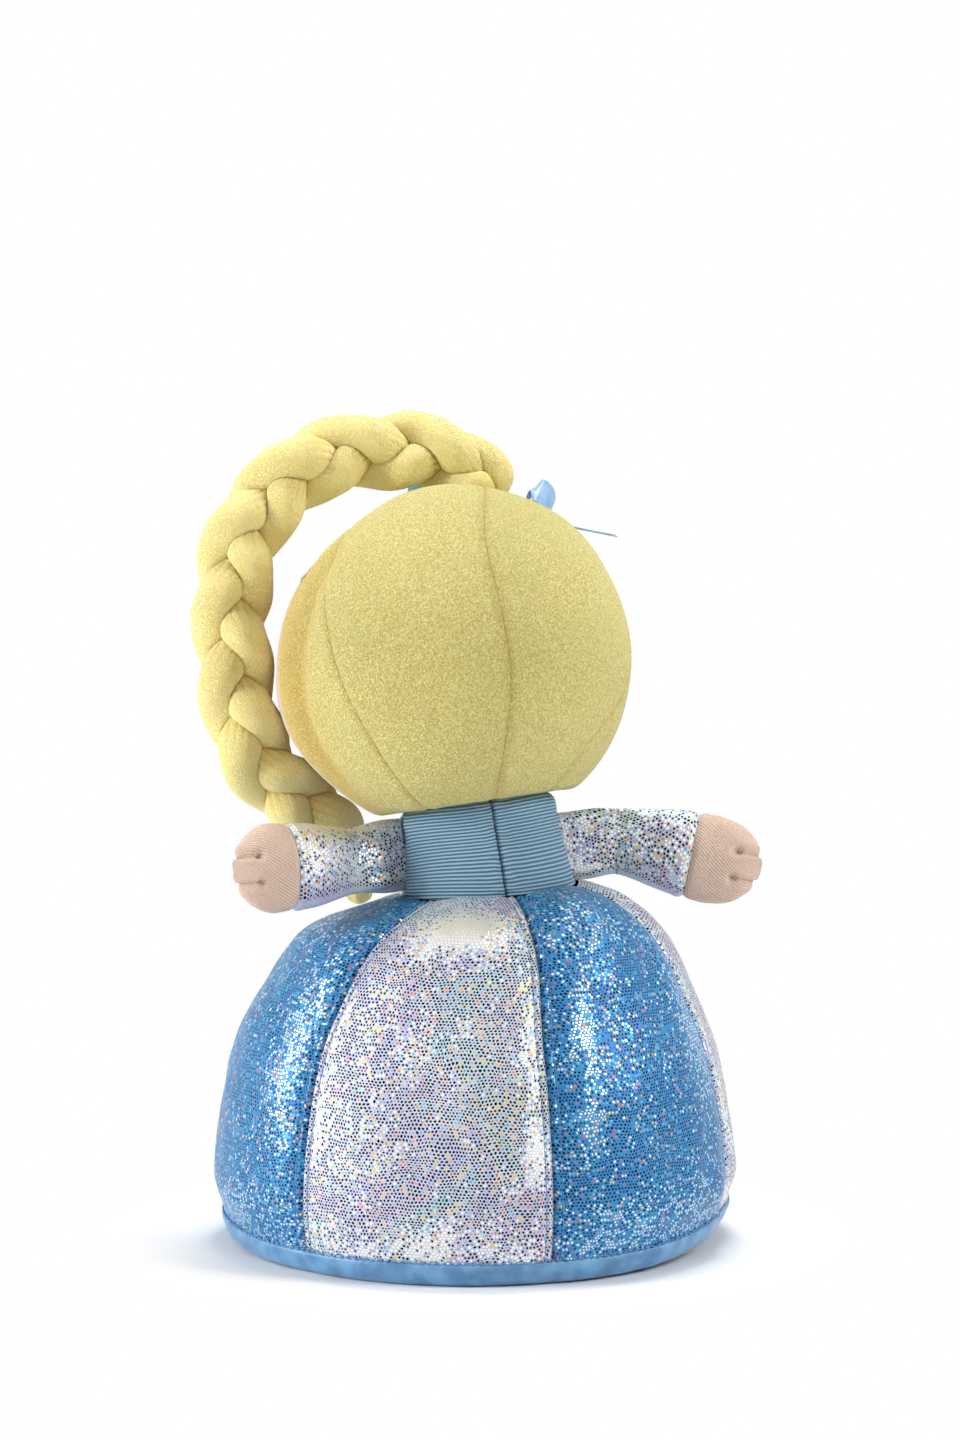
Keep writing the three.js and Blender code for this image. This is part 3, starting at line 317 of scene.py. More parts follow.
class Nodes:
    """The node tree of a material or world, and short calls that add to it."""

    def __init__(self, owner):
        owner.use_nodes = True
        self.tree = owner.node_tree

    def put(self, socket, value):
        if isinstance(value, bpy.types.NodeSocket):
            self.tree.links.new(value, socket)
        elif value is not None:
            socket.default_value = value

    def node(self, kind, inputs=(), **settings):
        made = self.tree.nodes.new("ShaderNode" + kind)
        for key, value in settings.items():
            setattr(made, key, value)
        for key, value in dict(inputs).items():
            self.put(made.inputs[key], value)
        return made

    def math(self, operation, a, b=None):
        return self.node("Math", {0: a, 1: b}, operation=operation).outputs[0]

    def plus(self, a, b):
        return self.math("ADD", a, b)

    def times(self, a, b):
        return self.math("MULTIPLY", a, b)

    def vector(self, operation, a, b=None, scale=None):
        made = self.node("VectorMath", {0: a, 1: b}, operation=operation)
        if scale is not None:
            self.put(made.inputs["Scale"], scale)
        return made.outputs["Value" if operation in ("LENGTH", "DOT_PRODUCT") else "Vector"]

    def centred(self, colour, size):
        """A noise's colour as a move to any side, up to half the size."""
        return self.vector("SCALE", self.vector("SUBTRACT", colour, (0.5, 0.5, 0.5)), scale=size)

    # Reads each point's painted light: painted shade in folds, seams and creases, painted highlight on the
    # foil.
    def mark(self):
        return self.node("Attribute", attribute_name="mark").outputs["Fac"]

    def seen(self):
        """1 for a ray from the camera, off a glossy surface or through a clear one, and 0 for the others."""
        paths = self.node("LightPath").outputs
        sent_on = self.math("MAXIMUM", paths["Is Glossy Ray"], paths["Is Transmission Ray"])
        return self.math("MAXIMUM", paths["Is Camera Ray"], sent_on)

    def cloth_uv(self):
        return self.node("UVMap", uv_map="cloth").outputs[0]

    def object_mm(self):
        place = self.node("TexCoord").outputs["Object"]
        return self.vector("SCALE", place, scale=1000.0)

    def noise(self, vector, scale, detail=2.0, distortion=0.0, output="Fac"):
        inputs = {"Vector": vector, "Scale": scale, "Detail": detail, "Distortion": distortion}
        return self.node("TexNoise", inputs, noise_dimensions="3D", noise_type="FBM").outputs[output]

    def spread(self, value, low, high, to_low=0.0, to_high=1.0):
        inputs = {"Value": value, "From Min": low, "From Max": high, "To Min": to_low, "To Max": to_high}
        return self.node("MapRange", inputs, interpolation_type="SMOOTHSTEP").outputs[0]

    def mix(self, factor, a, b):
        """Two colours mixed."""
        return self.node("Mix", {0: factor, 6: a, 7: b}, data_type="RGBA").outputs[2]

    def colours(self, value, stops, interpolation="CONSTANT"):
        made = self.node("ValToRGB", {"Fac": value})
        made.color_ramp.interpolation = interpolation
        elements = made.color_ramp.elements
        while len(elements) < len(stops):
            elements.new(1.0)
        for element, (place, *colour) in zip(elements, stops):
            element.position = place
            element.color = srgb(*colour)
        return made.outputs["Color"]

    def bumped(self, height, distance, strength):
        inputs = {"Height": height, "Distance": distance * MM, "Strength": strength}
        return self.node("Bump", inputs).outputs[0]


class Cloth(Nodes):
    """A Principled material."""

    def __init__(self, name, roughness=0.8, **sockets):
        self.material = bpy.data.materials.new(name)
        super().__init__(self.material)
        self.shader = next(n for n in self.tree.nodes if n.type == "BSDF_PRINCIPLED")
        self.set(Roughness=roughness, **sockets)

    def set(self, **sockets):
        for socket, value in sockets.items():
            self.put(self.shader.inputs[socket.replace("_", " ")], value)
        return self.material


def foil(name, ground, shades, tints, painted_glare_ground, painted_glare_colour, uneven):
    """Stretch cloth printed with a lattice of small foil dots, each tinted and tilted a little differently.
    Where the cloth's mark is high, most dots take the painted highlight colour and the ground between them
    pales to a painted highlight too, and below 0 the dots fade.
    shades and tints are rows of a place from 0 to 1 and its red, green and blue."""
    cloth = Cloth(name, Sheen_Weight=0.05)
    uv = cloth.cloth_uv()
    drift = cloth.centred(cloth.noise(uv, 0.07, 1.0, output="Color"), 4.0)
    fine = cloth.centred(cloth.noise(uv, 0.9, 0.0, output="Color"), 0.5)
    place = cloth.vector("ADD", cloth.vector("ADD", uv, drift), fine)
    scaled = cloth.vector("DIVIDE", place, (*DOT_PITCH, 1.0))
    cells = []
    for offset in (0.0, 0.5):
        moved = cloth.vector("ADD", scaled, (offset, offset, 0.0))
        cell = cloth.vector("FLOOR", moved)
        middle = cloth.vector("ADD", cell, (0.5, 0.5, 0.0))
        apart = cloth.vector("MULTIPLY", cloth.vector("SUBTRACT", moved, middle), (*DOT_PITCH, 0.0))
        name_of_cell = cloth.vector("ADD", cell, (0.0, 0.0, offset * 20 + 0.5))
        cells.append((name_of_cell, cloth.vector("LENGTH", apart)))
    (cell_a, far_a), (cell_b, far_b) = cells
    nearer = cloth.math("LESS_THAN", far_b, far_a)
    cell = cloth.node("Mix", {0: nearer, 4: cell_a, 5: cell_b}, data_type="VECTOR")
    dice = cloth.node("TexWhiteNoise", {"Vector": cell.outputs[1]}, noise_dimensions="3D")
    mark = cloth.mark()
    dot = cloth.spread(cloth.math("MINIMUM", far_a, far_b), 0.47, 0.36)
    dot = cloth.times(dot, cloth.spread(mark, -0.9, -0.2))
    where = cloth.object_mm()
    # Random patches of painted highlight, as strong as uneven says, add to the mark.
    patches = cloth.noise(where, 0.035, 3.0)
    painted_glare = cloth.plus(mark, cloth.spread(patches, 0.42, 0.72, -uneven / 2, uneven))
    per_dot = cloth.node("SeparateColor", {0: dice.outputs["Color"]}).outputs[0]
    tint = cloth.colours(dice.outputs["Value"], tints)
    tint = cloth.mix(cloth.math("LESS_THAN", per_dot, painted_glare), tint, painted_glare_colour)
    sheens = cloth.colours(cloth.noise(where, 0.028, 2.0, 0.6), shades, "LINEAR")
    base = cloth.mix(0.6, ground, sheens)
    base = cloth.mix(cloth.spread(painted_glare, 0.2, 1.0), base, painted_glare_ground)
    jitter = cloth.centred(dice.outputs["Color"], 0.12)
    weave = cloth.noise(uv, 2.4, 1.0)
    bumped = cloth.bumped(cloth.plus(cloth.times(dot, 0.6), weave), 0.1, 0.5)
    tilted = cloth.vector("ADD", bumped, cloth.vector("SCALE", jitter, scale=dot))
    return cloth.set(
        Base_Color=cloth.mix(dot, base, tint),
        Metallic=cloth.times(dot, 0.92),
        Roughness=cloth.node("Mix", {0: dot, 2: 0.45, 3: 0.3}, data_type="FLOAT").outputs[0],
        Normal=cloth.vector("NORMALIZE", tilted),
    )


silver_foil = foil(
    "silver_foil",
    srgb(198, 203, 217),
    [
        (0.3, 194, 199, 219), (0.42, 184, 180, 216), (0.5, 206, 214, 224), (0.58, 172, 204, 218),
        (0.68, 214, 206, 190),
    ],
    [
        (0.0, 5, 6, 12), (0.36, 4, 18, 26), (0.54, 10, 14, 58), (0.7, 234, 196, 48), (0.775, 222, 122, 36),
        (0.815, 160, 36, 54), (0.83, 50, 130, 76), (0.845, 112, 166, 212), (0.93, 176, 160, 218),
        (0.965, 236, 238, 244),
    ],
    # The painted highlight's ground colour and dot colour, and how strongly its random patches come and go
    srgb(220, 219, 216),
    srgb(250, 250, 250),
    0.26,
)
blue_foil = foil(
    "blue_foil",
    srgb(52, 142, 196),
    [(0.3, 24, 100, 160), (0.45, 38, 128, 182), (0.55, 30, 112, 174), (0.7, 56, 148, 192)],
    [
        (0.0, 14, 16, 34), (0.3, 12, 42, 92), (0.5, 16, 66, 126), (0.66, 54, 130, 176), (0.79, 112, 178, 212),
        (0.86, 204, 120, 76), (0.895, 228, 176, 142), (0.92, 190, 100, 134), (0.935, 230, 214, 110),
        (0.955, 226, 238, 244),
    ],
    # The painted highlight's ground colour and dot colour, and how strongly its random patches come and go
    srgb(46, 128, 186),
    srgb(214, 230, 236),
    0.1,
)


def velour(name, along_cloth, lit, shaded, deep, glow, reach, grain_size):
    """Short-pile velour, with the fine grain of its knitted ground, and painted shade in warm ochre, the deep
    colour, in its folds.
    """
    cloth = Cloth(name, roughness=0.95, Specular_IOR_Level=0.12,
                  Sheen_Weight=glow, Sheen_Roughness=0.45, Sheen_Tint=srgb(255, 250, 222),
                  Subsurface_Weight=glow, Subsurface_Scale=reach, Subsurface_Radius=(1.0, 0.7, 0.25))
    where = cloth.cloth_uv() if along_cloth else cloth.object_mm()
    stretch = (1.0, 0.5, 1.0) if along_cloth else (1.0, 1.0, 0.7)
    grain = cloth.noise(cloth.vector("MULTIPLY", where, stretch), 1 / grain_size, 1.0, 0.9)
    grain = cloth.spread(grain, 0.34, 0.62)
    pile = cloth.noise(where, 4.0, 2.0)
    patches = cloth.noise(cloth.object_mm(), 0.035, 2.0)
    dark = cloth.mix(cloth.spread(patches, 0.35, 0.65), shaded, deep)
    dark = cloth.mix(0.16, shaded, dark)
    colour = cloth.mix(grain, dark, lit)
    # Painted shade: the deep colour in folds, seams and creases.
    colour = cloth.mix(cloth.mark(), colour, deep)
    normal = cloth.bumped(cloth.plus(grain, cloth.times(pile, 0.35)), 0.42, 0.85)
    return cloth.set(Base_Color=colour, Normal=normal)


def rib_knit():
    """Ribs round the cloth, each a row of small knitted loops."""
    cloth = Cloth("rib_knit", roughness=0.75, Sheen_Weight=0.12, Specular_IOR_Level=0.25)
    uv = cloth.cloth_uv()
    parts = cloth.node("SeparateXYZ", {0: uv}).outputs
    ribs = cloth.math("COSINE", cloth.times(parts[1], 2 * math.pi / RIB_PITCH))
    loops = cloth.math("COSINE", cloth.times(parts[0], 2 * math.pi / LOOP_PITCH))
    ridge = cloth.spread(cloth.plus(ribs, cloth.times(loops, 0.22)), -0.75, 0.85)
    thread = cloth.noise(cloth.vector("MULTIPLY", uv, (3.2, 1.2, 1.0)), 1.0, 2.0)
    patches = cloth.noise(cloth.object_mm(), 0.05, 2.0)
    rib = cloth.mix(patches, srgb(138, 178, 202), srgb(158, 194, 214))
    # The grooves between the ribs take a dark painted shade.
    colour = cloth.mix(ridge, srgb(58, 92, 120), rib)
    colour = cloth.mix(cloth.times(thread, 0.2), colour, srgb(176, 208, 226))
    # Painted shade, dark blue, at the bodice's seams and under the head where the collar tucks in.
    colour = cloth.mix(cloth.mark(), colour, srgb(30, 54, 78))
    normal = cloth.bumped(cloth.plus(cloth.times(thread, 0.5), ridge), 0.2, 0.5)
    return cloth.set(Base_Color=colour, Normal=normal)


def satin(name, light, dark, thread):
    """Ribbon with fine floats of thread across it."""
    cloth = Cloth(name, roughness=0.36, Sheen_Weight=0.15, Specular_IOR_Level=0.6, Anisotropic=0.5)
    uv = cloth.cloth_uv()
    weave = cloth.noise(cloth.vector("MULTIPLY", uv, (1.0, 0.12, 1.0)), 7.0, 1.0)
    patches = cloth.noise(uv, 0.12, 2.0)
    colour = cloth.mix(cloth.spread(patches, 0.3, 0.7), dark, light)
    colour = cloth.mix(cloth.times(weave, 0.35), colour, thread)
    return cloth.set(
        Base_Color=colour,
        Roughness=cloth.spread(weave, 0.3, 0.7, 0.3, 0.45),
        Normal=cloth.bumped(weave, 0.07, 0.5),
    )


def plain_knit(name, light, dark, scale, depth):
    """A fine jersey: columns of small stitches, a little uneven."""
    cloth = Cloth(name, roughness=0.85, Sheen_Weight=0.2, Specular_IOR_Level=0.2)
    uv = cloth.cloth_uv()
    turned = cloth.node("VectorRotate", {"Vector": uv, "Angle": 0.5}, rotation_type="Z_AXIS").outputs[0]
    parts = cloth.node("SeparateXYZ", {0: turned}).outputs
    columns = cloth.math("SINE", cloth.times(parts[0], 2 * math.pi * scale))
    stitch = cloth.math("SINE", cloth.times(parts[1], 2 * math.pi * scale * 1.3))
    relief = cloth.plus(columns, cloth.times(stitch, 0.5))
    uneven = cloth.noise(uv, 0.8, 3.0)
    relief = cloth.plus(cloth.spread(relief, -1.5, 1.5), uneven)
    colour = cloth.mix(cloth.spread(relief, 0.4, 1.5), dark, light)
    return cloth.set(Base_Color=colour, Normal=cloth.bumped(relief, depth, 0.6))


def thread(name, light, dark):
    cloth = Cloth(name, roughness=0.55, Sheen_Weight=0.2)
    twist = cloth.noise(cloth.object_mm(), 3.0, 1.0)
    return cloth.set(Base_Color=cloth.mix(twist, dark, light), Normal=cloth.bumped(twist, 0.1, 0.5))


def fluff():
    cloth = Cloth("fibre_fill", roughness=1.0, Sheen_Weight=0.4)
    tufts = cloth.noise(cloth.object_mm(), 0.25, 6.0, 1.5)
    colour = cloth.mix(tufts, srgb(226, 224, 218), srgb(250, 249, 246))
    return cloth.set(Base_Color=colour, Normal=cloth.bumped(tufts, 2.0, 0.7))


# The third colour of each velour is its painted shade, for folds, seams and creases.
hair_velour = velour("hair_velour", False, srgb(238, 229, 161), srgb(201, 185, 86), srgb(202, 148, 42),
                     0.24, 0.009, 0.42)
braid_velour = velour("braid_velour", True, srgb(255, 243, 182), srgb(255, 230, 130), srgb(255, 186, 40),
                      0.35, 0.004, 0.42)
ribbed = rib_knit()
hem_satin = satin("hem_satin", srgb(104, 160, 202), srgb(58, 110, 162), srgb(132, 182, 216))
bow_satin = satin("bow_satin", srgb(150, 188, 220), srgb(106, 150, 192), srgb(178, 206, 228))
peach = plain_knit("peach_knit", srgb(226, 201, 184), srgb(194, 163, 145), 1.3, 0.2)
lining_cloth = plain_knit("lining_cloth", srgb(150, 188, 212), srgb(124, 166, 194), 0.8, 0.15)
filling = fluff()
blue_thread = thread("blue_thread", srgb(104, 158, 204), srgb(74, 124, 178))
eye_thread = thread("eye_thread", srgb(74, 92, 128), srgb(46, 58, 90))
mouth_thread = thread("mouth_thread", srgb(208, 132, 128), srgb(182, 104, 104))
glint_thread = thread("glint_thread", srgb(246, 246, 244), srgb(222, 224, 228))

# Skirt

OUTLINE = np.array([
    (HEM_RADIUS, 0),
    (BELLY_RADIUS, BELLY_HEIGHT),
    (BELLY_RADIUS * 0.963, BELLY_HEIGHT + (SHOULDER_HEIGHT - BELLY_HEIGHT) * 0.36),
    (BELLY_RADIUS * 0.875, BELLY_HEIGHT + (SHOULDER_HEIGHT - BELLY_HEIGHT) * 0.68),
    (SHOULDER_RADIUS, SHOULDER_HEIGHT),
    ((SHOULDER_RADIUS + WAIST_RADIUS) / 2, SHOULDER_HEIGHT + (WAIST_HEIGHT - SHOULDER_HEIGHT) * 0.68),
    (WAIST_RADIUS, WAIST_HEIGHT),
    (WAIST_HOLE_RADIUS, WAIST_HEIGHT),
])


def outline(t):
    """Radius and height at a place along the skirt's outline, as part.mjs's spline has them."""
    t = np.asarray(t, float)
    last = len(OUTLINE) - 1
    place = last * np.clip(t, 0, 1)
    i = np.floor(place).astype(int)
    w = (place - i)[..., None]
    p0, p1, p2, p3 = (OUTLINE[np.clip(i + k, 0, last)] for k in (-1, 0, 1, 2))
    return cubic(p1, p2, (p2 - p0) / 2, (p3 - p1) / 2, w)


def outline_way(t):
    t = np.minimum(np.asarray(t, float), 0.999)
    return unit(outline(t + 1e-4) - outline(np.maximum(t - 1e-4, 0)))


SAMPLES = outline(np.linspace(0, 1, 701))


def outline_at(test):
    return float(np.argmax(test(SAMPLES[:, 0], SAMPLES[:, 1])) / 700)


HEM_PLACE = outline_at(lambda x, y: y > 1.2)
PANEL_START = outline_at(lambda x, y: y > 4.2)
WAIST_PLACE = outline_at(lambda x, y: (y > WAIST_HEIGHT - 0.5) & (x < WAIST_RADIUS + 1))


def even_places(low, high, step):
    """Places along the outline that are evenly far apart, and their distance from the first."""
    fine = np.linspace(low, high, 2000)
    run = distances(outline(fine))
    count = max(2, round(run[-1] / step) + 1)
    along = np.linspace(0, run[-1], count)
    return np.interp(along, run, fine), along


def hem_lift(angle, height):
    """The padded hem doesn't lie flat: in two places it stands off the floor."""
    lift = sum(most * hump(turned_from(angle, middle), 0, spread) for middle, spread, most in HEM_LIFTS)
    return lift * (1 - ramp(0, 45, height))


def bell(angle, t, depth=0.0):
    """Points of the bell at angles and places along its outline, a depth inside its cloth."""
    angle, t, depth = together(angle, t, depth)
    flat, way = outline(t), outline_way(t)
    radius = flat[..., 0] - depth * way[..., 1]
    height = flat[..., 1] + depth * way[..., 0]
    return bell_point(angle, radius, height)


def bell_point(angle, radius, height):
    """Points at angles, radii and heights, leaned and moved as the bell's upper part is."""
    angle, radius, height = together(angle, radius, height)
    share = ramp(CROWN_START, WAIST_HEIGHT, height) / 2
    drift = ramp(BELLY_HEIGHT * 3, WAIST_HEIGHT, height)
    points = leaned(direction(angle) * radius[..., None], share)
    points[..., 0] += WAIST[0] * drift
    points[..., 1] += WAIST[1] * drift
    points[..., 2] += height + hem_lift(angle, height)
    return points


def seam_angle(i):
    return FIRST_SEAM + 60 * i


def panel_depth(i, across, t, along):
    """How far panel i's cloth lies inside the plain bell. across is in degrees from its first seam."""
    silver, seed = i % 2 == 0, 31 + 10 * i
    radius = outline(t)[..., 0]
    side = np.minimum(across, 60 - across) * DEG * radius
    top = ramp(1, 0.7, t)
    free = ramp(5, 17, along)  # the binding holds the lower edge flat
    valley = 1.5 * hump(side, 0, 0.8) + 0.9 * (1 - ramp(SEAM_BAND - 0.6, 11 if silver else 7.5, side))
    valley = valley * (0.3 + 0.7 * top)
    groove = 0.45 * hump(side, SEAM_BAND, 0.55)
    phase = 2 * math.pi * along / STITCH_PITCH + np.where(across < 30, 0.0, 1.7)
    if silver:
        pucker = 0.07 * np.cos(phase) * hump(side, SEAM_BAND, 1.2)
        puff = -0.5 * ramp(4, 22, side) * top * free
    else:
        pucker = 0.26 * np.cos(phase) * hump(side, SEAM_BAND + 0.9, 1.3)
        puff = -1.3 * ramp(3, 15, side) * top * free
    flat = stacked(across * 1.5, along, 0.0 * along)
    from_left = turned_from(seam_angle(i) + across, LEFT_PUFF_ANGLE)
    from_tail = turned_from(seam_angle(i) + across, TAIL_DENT_ANGLE)  # the braid's tail presses a dent there
    puff = puff - 1.6 * hump(along, 108, 17) - 2.4 * hump(from_left, 0, 42) * hump(along, 118, 12)
    puff = puff + 3.4 * hump(from_tail, 0, 15) * hump(along, 108, 18)
    dents = (0.55 * wobble(flat, 42, seed) + 0.2 * wobble(flat, 16, seed + 1)) * ramp(3, 12, side)
    return valley + groove + pucker + puff - dents * top * free + 0.3 * (1 - free)


def painted_panel_glare(across, along, silver):
    """How much painted highlight a panel's foil takes: in a few soft patches, and a painted reflection, less
    sharp, towards the hem.
    """
    side = across * DEG * PANEL_FLAT_RADIUS
    width = 60 * DEG * PANEL_FLAT_RADIUS
    if silver:
        edges = 0.6 * (hump(side, 5.5, 3.2) + hump(side, width - 6, 3.6))
        edges = edges * ramp(24, 44, along) * ramp(112, 84, along)
        crown = 1.1 * hump(along, 121, 10) * hump(across, 33, 20)
        return np.clip(edges + crown + 0.45 * ramp(26, 8, along), 0, 1)
    streaks = 0.85 * hump(side, 16, 5) * hump(along, 84, 12) + 0.7 * hump(side, 14, 4) * hump(along, 50, 11)
    far = 0.6 * hump(side, width - 14, 9) * hump(along, 70, 26)
    return np.clip(streaks + far + 0.16 * hump(along, 118, 10) + 0.36 * ramp(34, 8, along), 0, 1)


def panel_columns(step):
    half = [0.0, 0.12, 0.4, 0.8, 1.2, 1.6, 2.0, 2.4, 2.75, 3.1, 3.5, 4.0, 4.6, 5.3, 6.2, 7.2, 8.4, 9.8]
    middle = np.arange(11.4, 46.0, step)
    width = 60 * DEG * BELLY_RADIUS
    near = np.array(half + list(middle))
    near = near[near < width / 2]
    return np.concatenate([near, [width / 2], (width - near)[::-1]]) / width * 60


panel_places, panel_along = even_places(PANEL_START, WAIST_PLACE, 0.55)
stitch_points, stitch_ways = [], []
for i in range(PANEL_COUNT):
    silver = i % 2 == 0
    name = "skirt_panel_" + ("silver_" if silver else "blue_") + str(i // 2 + 1)
    across = panel_columns(1.7)[:, None]
    depth = panel_depth(i, across, panel_places, panel_along)
    depth[[0, -1]] = 3.2
    grid = bell(seam_angle(i) + across, panel_places, depth)
    u = (across - 30) * DEG * outline(panel_places)[:, 0]
    uv = stacked(u + 200 * i, panel_along)
    panel = sheet_mesh(name + "_cloth", grid, uv, silver_foil if silver else blue_foil,
                       mark=painted_panel_glare(across, panel_along, silver))
    finish_piece(panel, "skirt_and_torso", "silver_foil" if silver else "blue_foil", name)
    for edge in (0, 1):
        count = int(panel_along[-1] // STITCH_PITCH)
        run = (np.arange(count) + 0.5) * STITCH_PITCH
        t = np.interp(run, panel_along, panel_places)
        offset = SEAM_BAND / (outline(t)[:, 0] * DEG)
        if edge:
            offset = 60 - offset
        level = panel_depth(i, offset, t, run)
        here = bell(seam_angle(i) + offset, t, level - 0.08)
        ahead = bell(seam_angle(i) + offset, np.minimum(t + 0.002, 1), level - 0.08)
        stitch_points.append(here)
        stitch_ways.append(ahead - here)
topstitching = stitches("skirt_topstitching", np.concatenate(stitch_points), np.concatenate(stitch_ways),
                        blue_thread, length=2.3, radius=0.2)
finish_piece(topstitching, "skirt_and_torso", "satin")

ALL_ROUND = np.arange(0, 360, 1.0)


def seam_draw(angle, t):
    puff = np.sin(math.pi * ((angle - FIRST_SEAM) % 60) / 60)
    return SEAM_DRAW * (1 - np.sqrt(puff)) * ramp(1, 0.7, t)


WALL_TOP = outline_at(lambda x, y: y > CEILING_HEIGHT * 0.72)


def hollow(angle, growth):
    """The hollow under the skirt, from the hem up to the flat ceiling's edge, as [angle][along] points."""
    t = np.linspace(HEM_PLACE, WALL_TOP, 40)
    angle = angle[:, None]
    wall = bell(angle, t, SKIRT_WALL - growth + seam_draw(angle, t))
    flat, way = outline(WALL_TOP), outline_way(WALL_TOP)
    corner = flat + SKIRT_WALL * np.array([-way[1], way[0]])
    turn = np.linspace(0.12, 1, 10) * math.pi / 2
    radius = CEILING_RADIUS + (corner[0] - CEILING_RADIUS + growth) * np.cos(turn)
    height = corner[1] + (CEILING_HEIGHT + growth - corner[1]) * np.sin(turn)
    return np.concatenate([wall, bell_point(angle, radius, height)], 1)


coarse = np.arange(0, 360, 3.0)
lining_grid = hollow(ALL_ROUND, 0.3)
swell = wobble(lining_grid, 26, 5)[..., None] * 0.5
inward = -direction(ALL_ROUND)[:, None] * swell
lining_grid = (lining_grid + inward)[::-1]
lining = sheet_mesh("skirt_lining_cloth", lining_grid, tube_uv(lining_grid), lining_cloth, closed=True,
                    capped=(False, True))
finish_piece(lining, "skirt_and_torso", "lining_cloth", "skirt_lining")
padding_places = np.linspace(HEM_PLACE, 0.985, 60)
padding_draw = seam_draw(coarse[:, None], padding_places)
padding_out = bell(coarse[:, None], padding_places, 2.6 + padding_draw)
padding_in = hollow(coarse, 1.3)[:, ::-1]
padding_ring = np.concatenate([padding_out, padding_in], 1)
padding_ring = np.concatenate([padding_ring, padding_ring[:, :1]], 1)
padding = sheet_mesh("skirt_batting", padding_ring, tube_uv(padding_ring), filling, closed=True)
finish_piece(padding, "skirt_and_torso", "fibre_fill", "skirt_padding")

# Hem binding: satin turned round the padded edge, with a wavy row of stitches over its upper edge
BINDING_SECTION = [  # distance outside the outline, height
    (-0.3, 8.4), (0.6, 8.2), (0.95, 7.2), (0.9, 6.0), (0.7, 4.6), (0.3, 3.2), (-0.35, 1.8), (-1.3, 0.7),
    (-2.6, 0.1), (-4.0, 0.0), (-5.6, 0.1), (-7.0, 0.6), (-7.9, 1.8), (-8.2, 3.4), (-8.2, 5.4), (-7.9, 7.2),
    (-7.2, 8.0),
]
section = np.array(BINDING_SECTION)
run = distances(section)
fine_run = np.linspace(0, run[-1], 44)
section = np.stack([np.interp(fine_run, run, section[:, k]) for k in (0, 1)], -1)
section[1:-1] = (section[:-2] + section[1:-1] * 2 + section[2:]) / 4
round_fine = np.arange(0, 360, 0.5)


def binding_points(angle, out, height):
    angle, out, height = together(angle, out, height)
    t = np.interp(height, SAMPLES[:120, 1], np.linspace(0, 119 / 700, 120))
    radius = outline(t)[..., 0] + out - seam_draw(angle, t) * 0.8
    return bell_point(angle, radius, height)


flat_hem = stacked((round_fine * 1.5)[:, None], fine_run, 0.0)
crumple = 0.16 * wobble(flat_hem * np.array([1.0, 2.2, 1]), 11, 71) + 0.3 * wobble(flat_hem, 45, 72)
crumple = crumple * hump(fine_run, 6, 6)
edge_wave = 0.25 * np.cos(2 * math.pi * round_fine * DEG * BINDING_FLAT_RADIUS / STITCH_PITCH)[:, None]
edge_wave = edge_wave * hump(fine_run, 0.6, 1.0)
hem_grid = binding_points(round_fine[:, None], section[:, 0] + crumple, section[:, 1] + edge_wave)
hem_grid[..., 2] = np.maximum(hem_grid[..., 2], 0.0)
hem_grid = hem_grid[:, ::-1]
hem_uv = stacked((np.arange(721) * 0.5 * DEG * BINDING_FLAT_RADIUS)[:, None], fine_run[::-1])
hem = sheet_mesh("hem_satin_binding", hem_grid, hem_uv, hem_satin, closed=True)
thicken(hem, BINDING_THICKNESS, -1.0)
finish_piece(hem, "skirt_and_torso", "satin", "hem_binding")

hem_stitches = int(round(2 * math.pi * HEM_ROW_RADIUS / (STITCH_PITCH / 1.15)))
turn = np.arange(hem_stitches) * 360 / hem_stitches
tilt = np.where(np.arange(hem_stitches) % 2 == 0, 1.0, -1.0)
low = binding_points(turn - 0.62, HEM_ROW_OUT, HEM_ROW_HEIGHT - 0.4 * tilt)
high = binding_points(turn + 0.62, HEM_ROW_OUT, HEM_ROW_HEIGHT + 0.4 * tilt)
hem_row = stitches("hem_stitching", (low + high) / 2, high - low, blue_thread, length=2.3, radius=0.26)
finish_piece(hem_row, "skirt_and_torso", "satin")

# Bodice and torso

CUP_RADIUS = NECK_SEAT_RADIUS + GAP
SOFT_SEAT = 55.5  # the stuffed head bulges down over the ball that it turns on, and the collar gives way
SEAT_PLAY = 0.4  # between the head and what it rests on
COLLAR_TOP = SPINE_LENGTH - math.sqrt(CUP_RADIUS**2 - COLLAR_RADIUS**2) - GAP


def bodice_radius(along):
    return WAIST_RADIUS + (COLLAR_RADIUS - WAIST_RADIUS) * ramp(-0.3, 1.15, along / COLLAR_TOP)


def under_head(along, radius):
    """Places along the spine, kept just under the head where the collar bends in below it."""
    return np.minimum(along, SPINE_LENGTH - np.sqrt((SOFT_SEAT + SEAT_PLAY) ** 2 - radius**2))


def torso_point(angle, along, radius):
    angle, along, radius = together(angle, along, radius)
    share = 0.5 + 0.5 * ramp(0, 0.5, along / COLLAR_TOP)
    return leaned(direction(angle) * radius[..., None], share) + WAIST + SPINE * along[..., None]


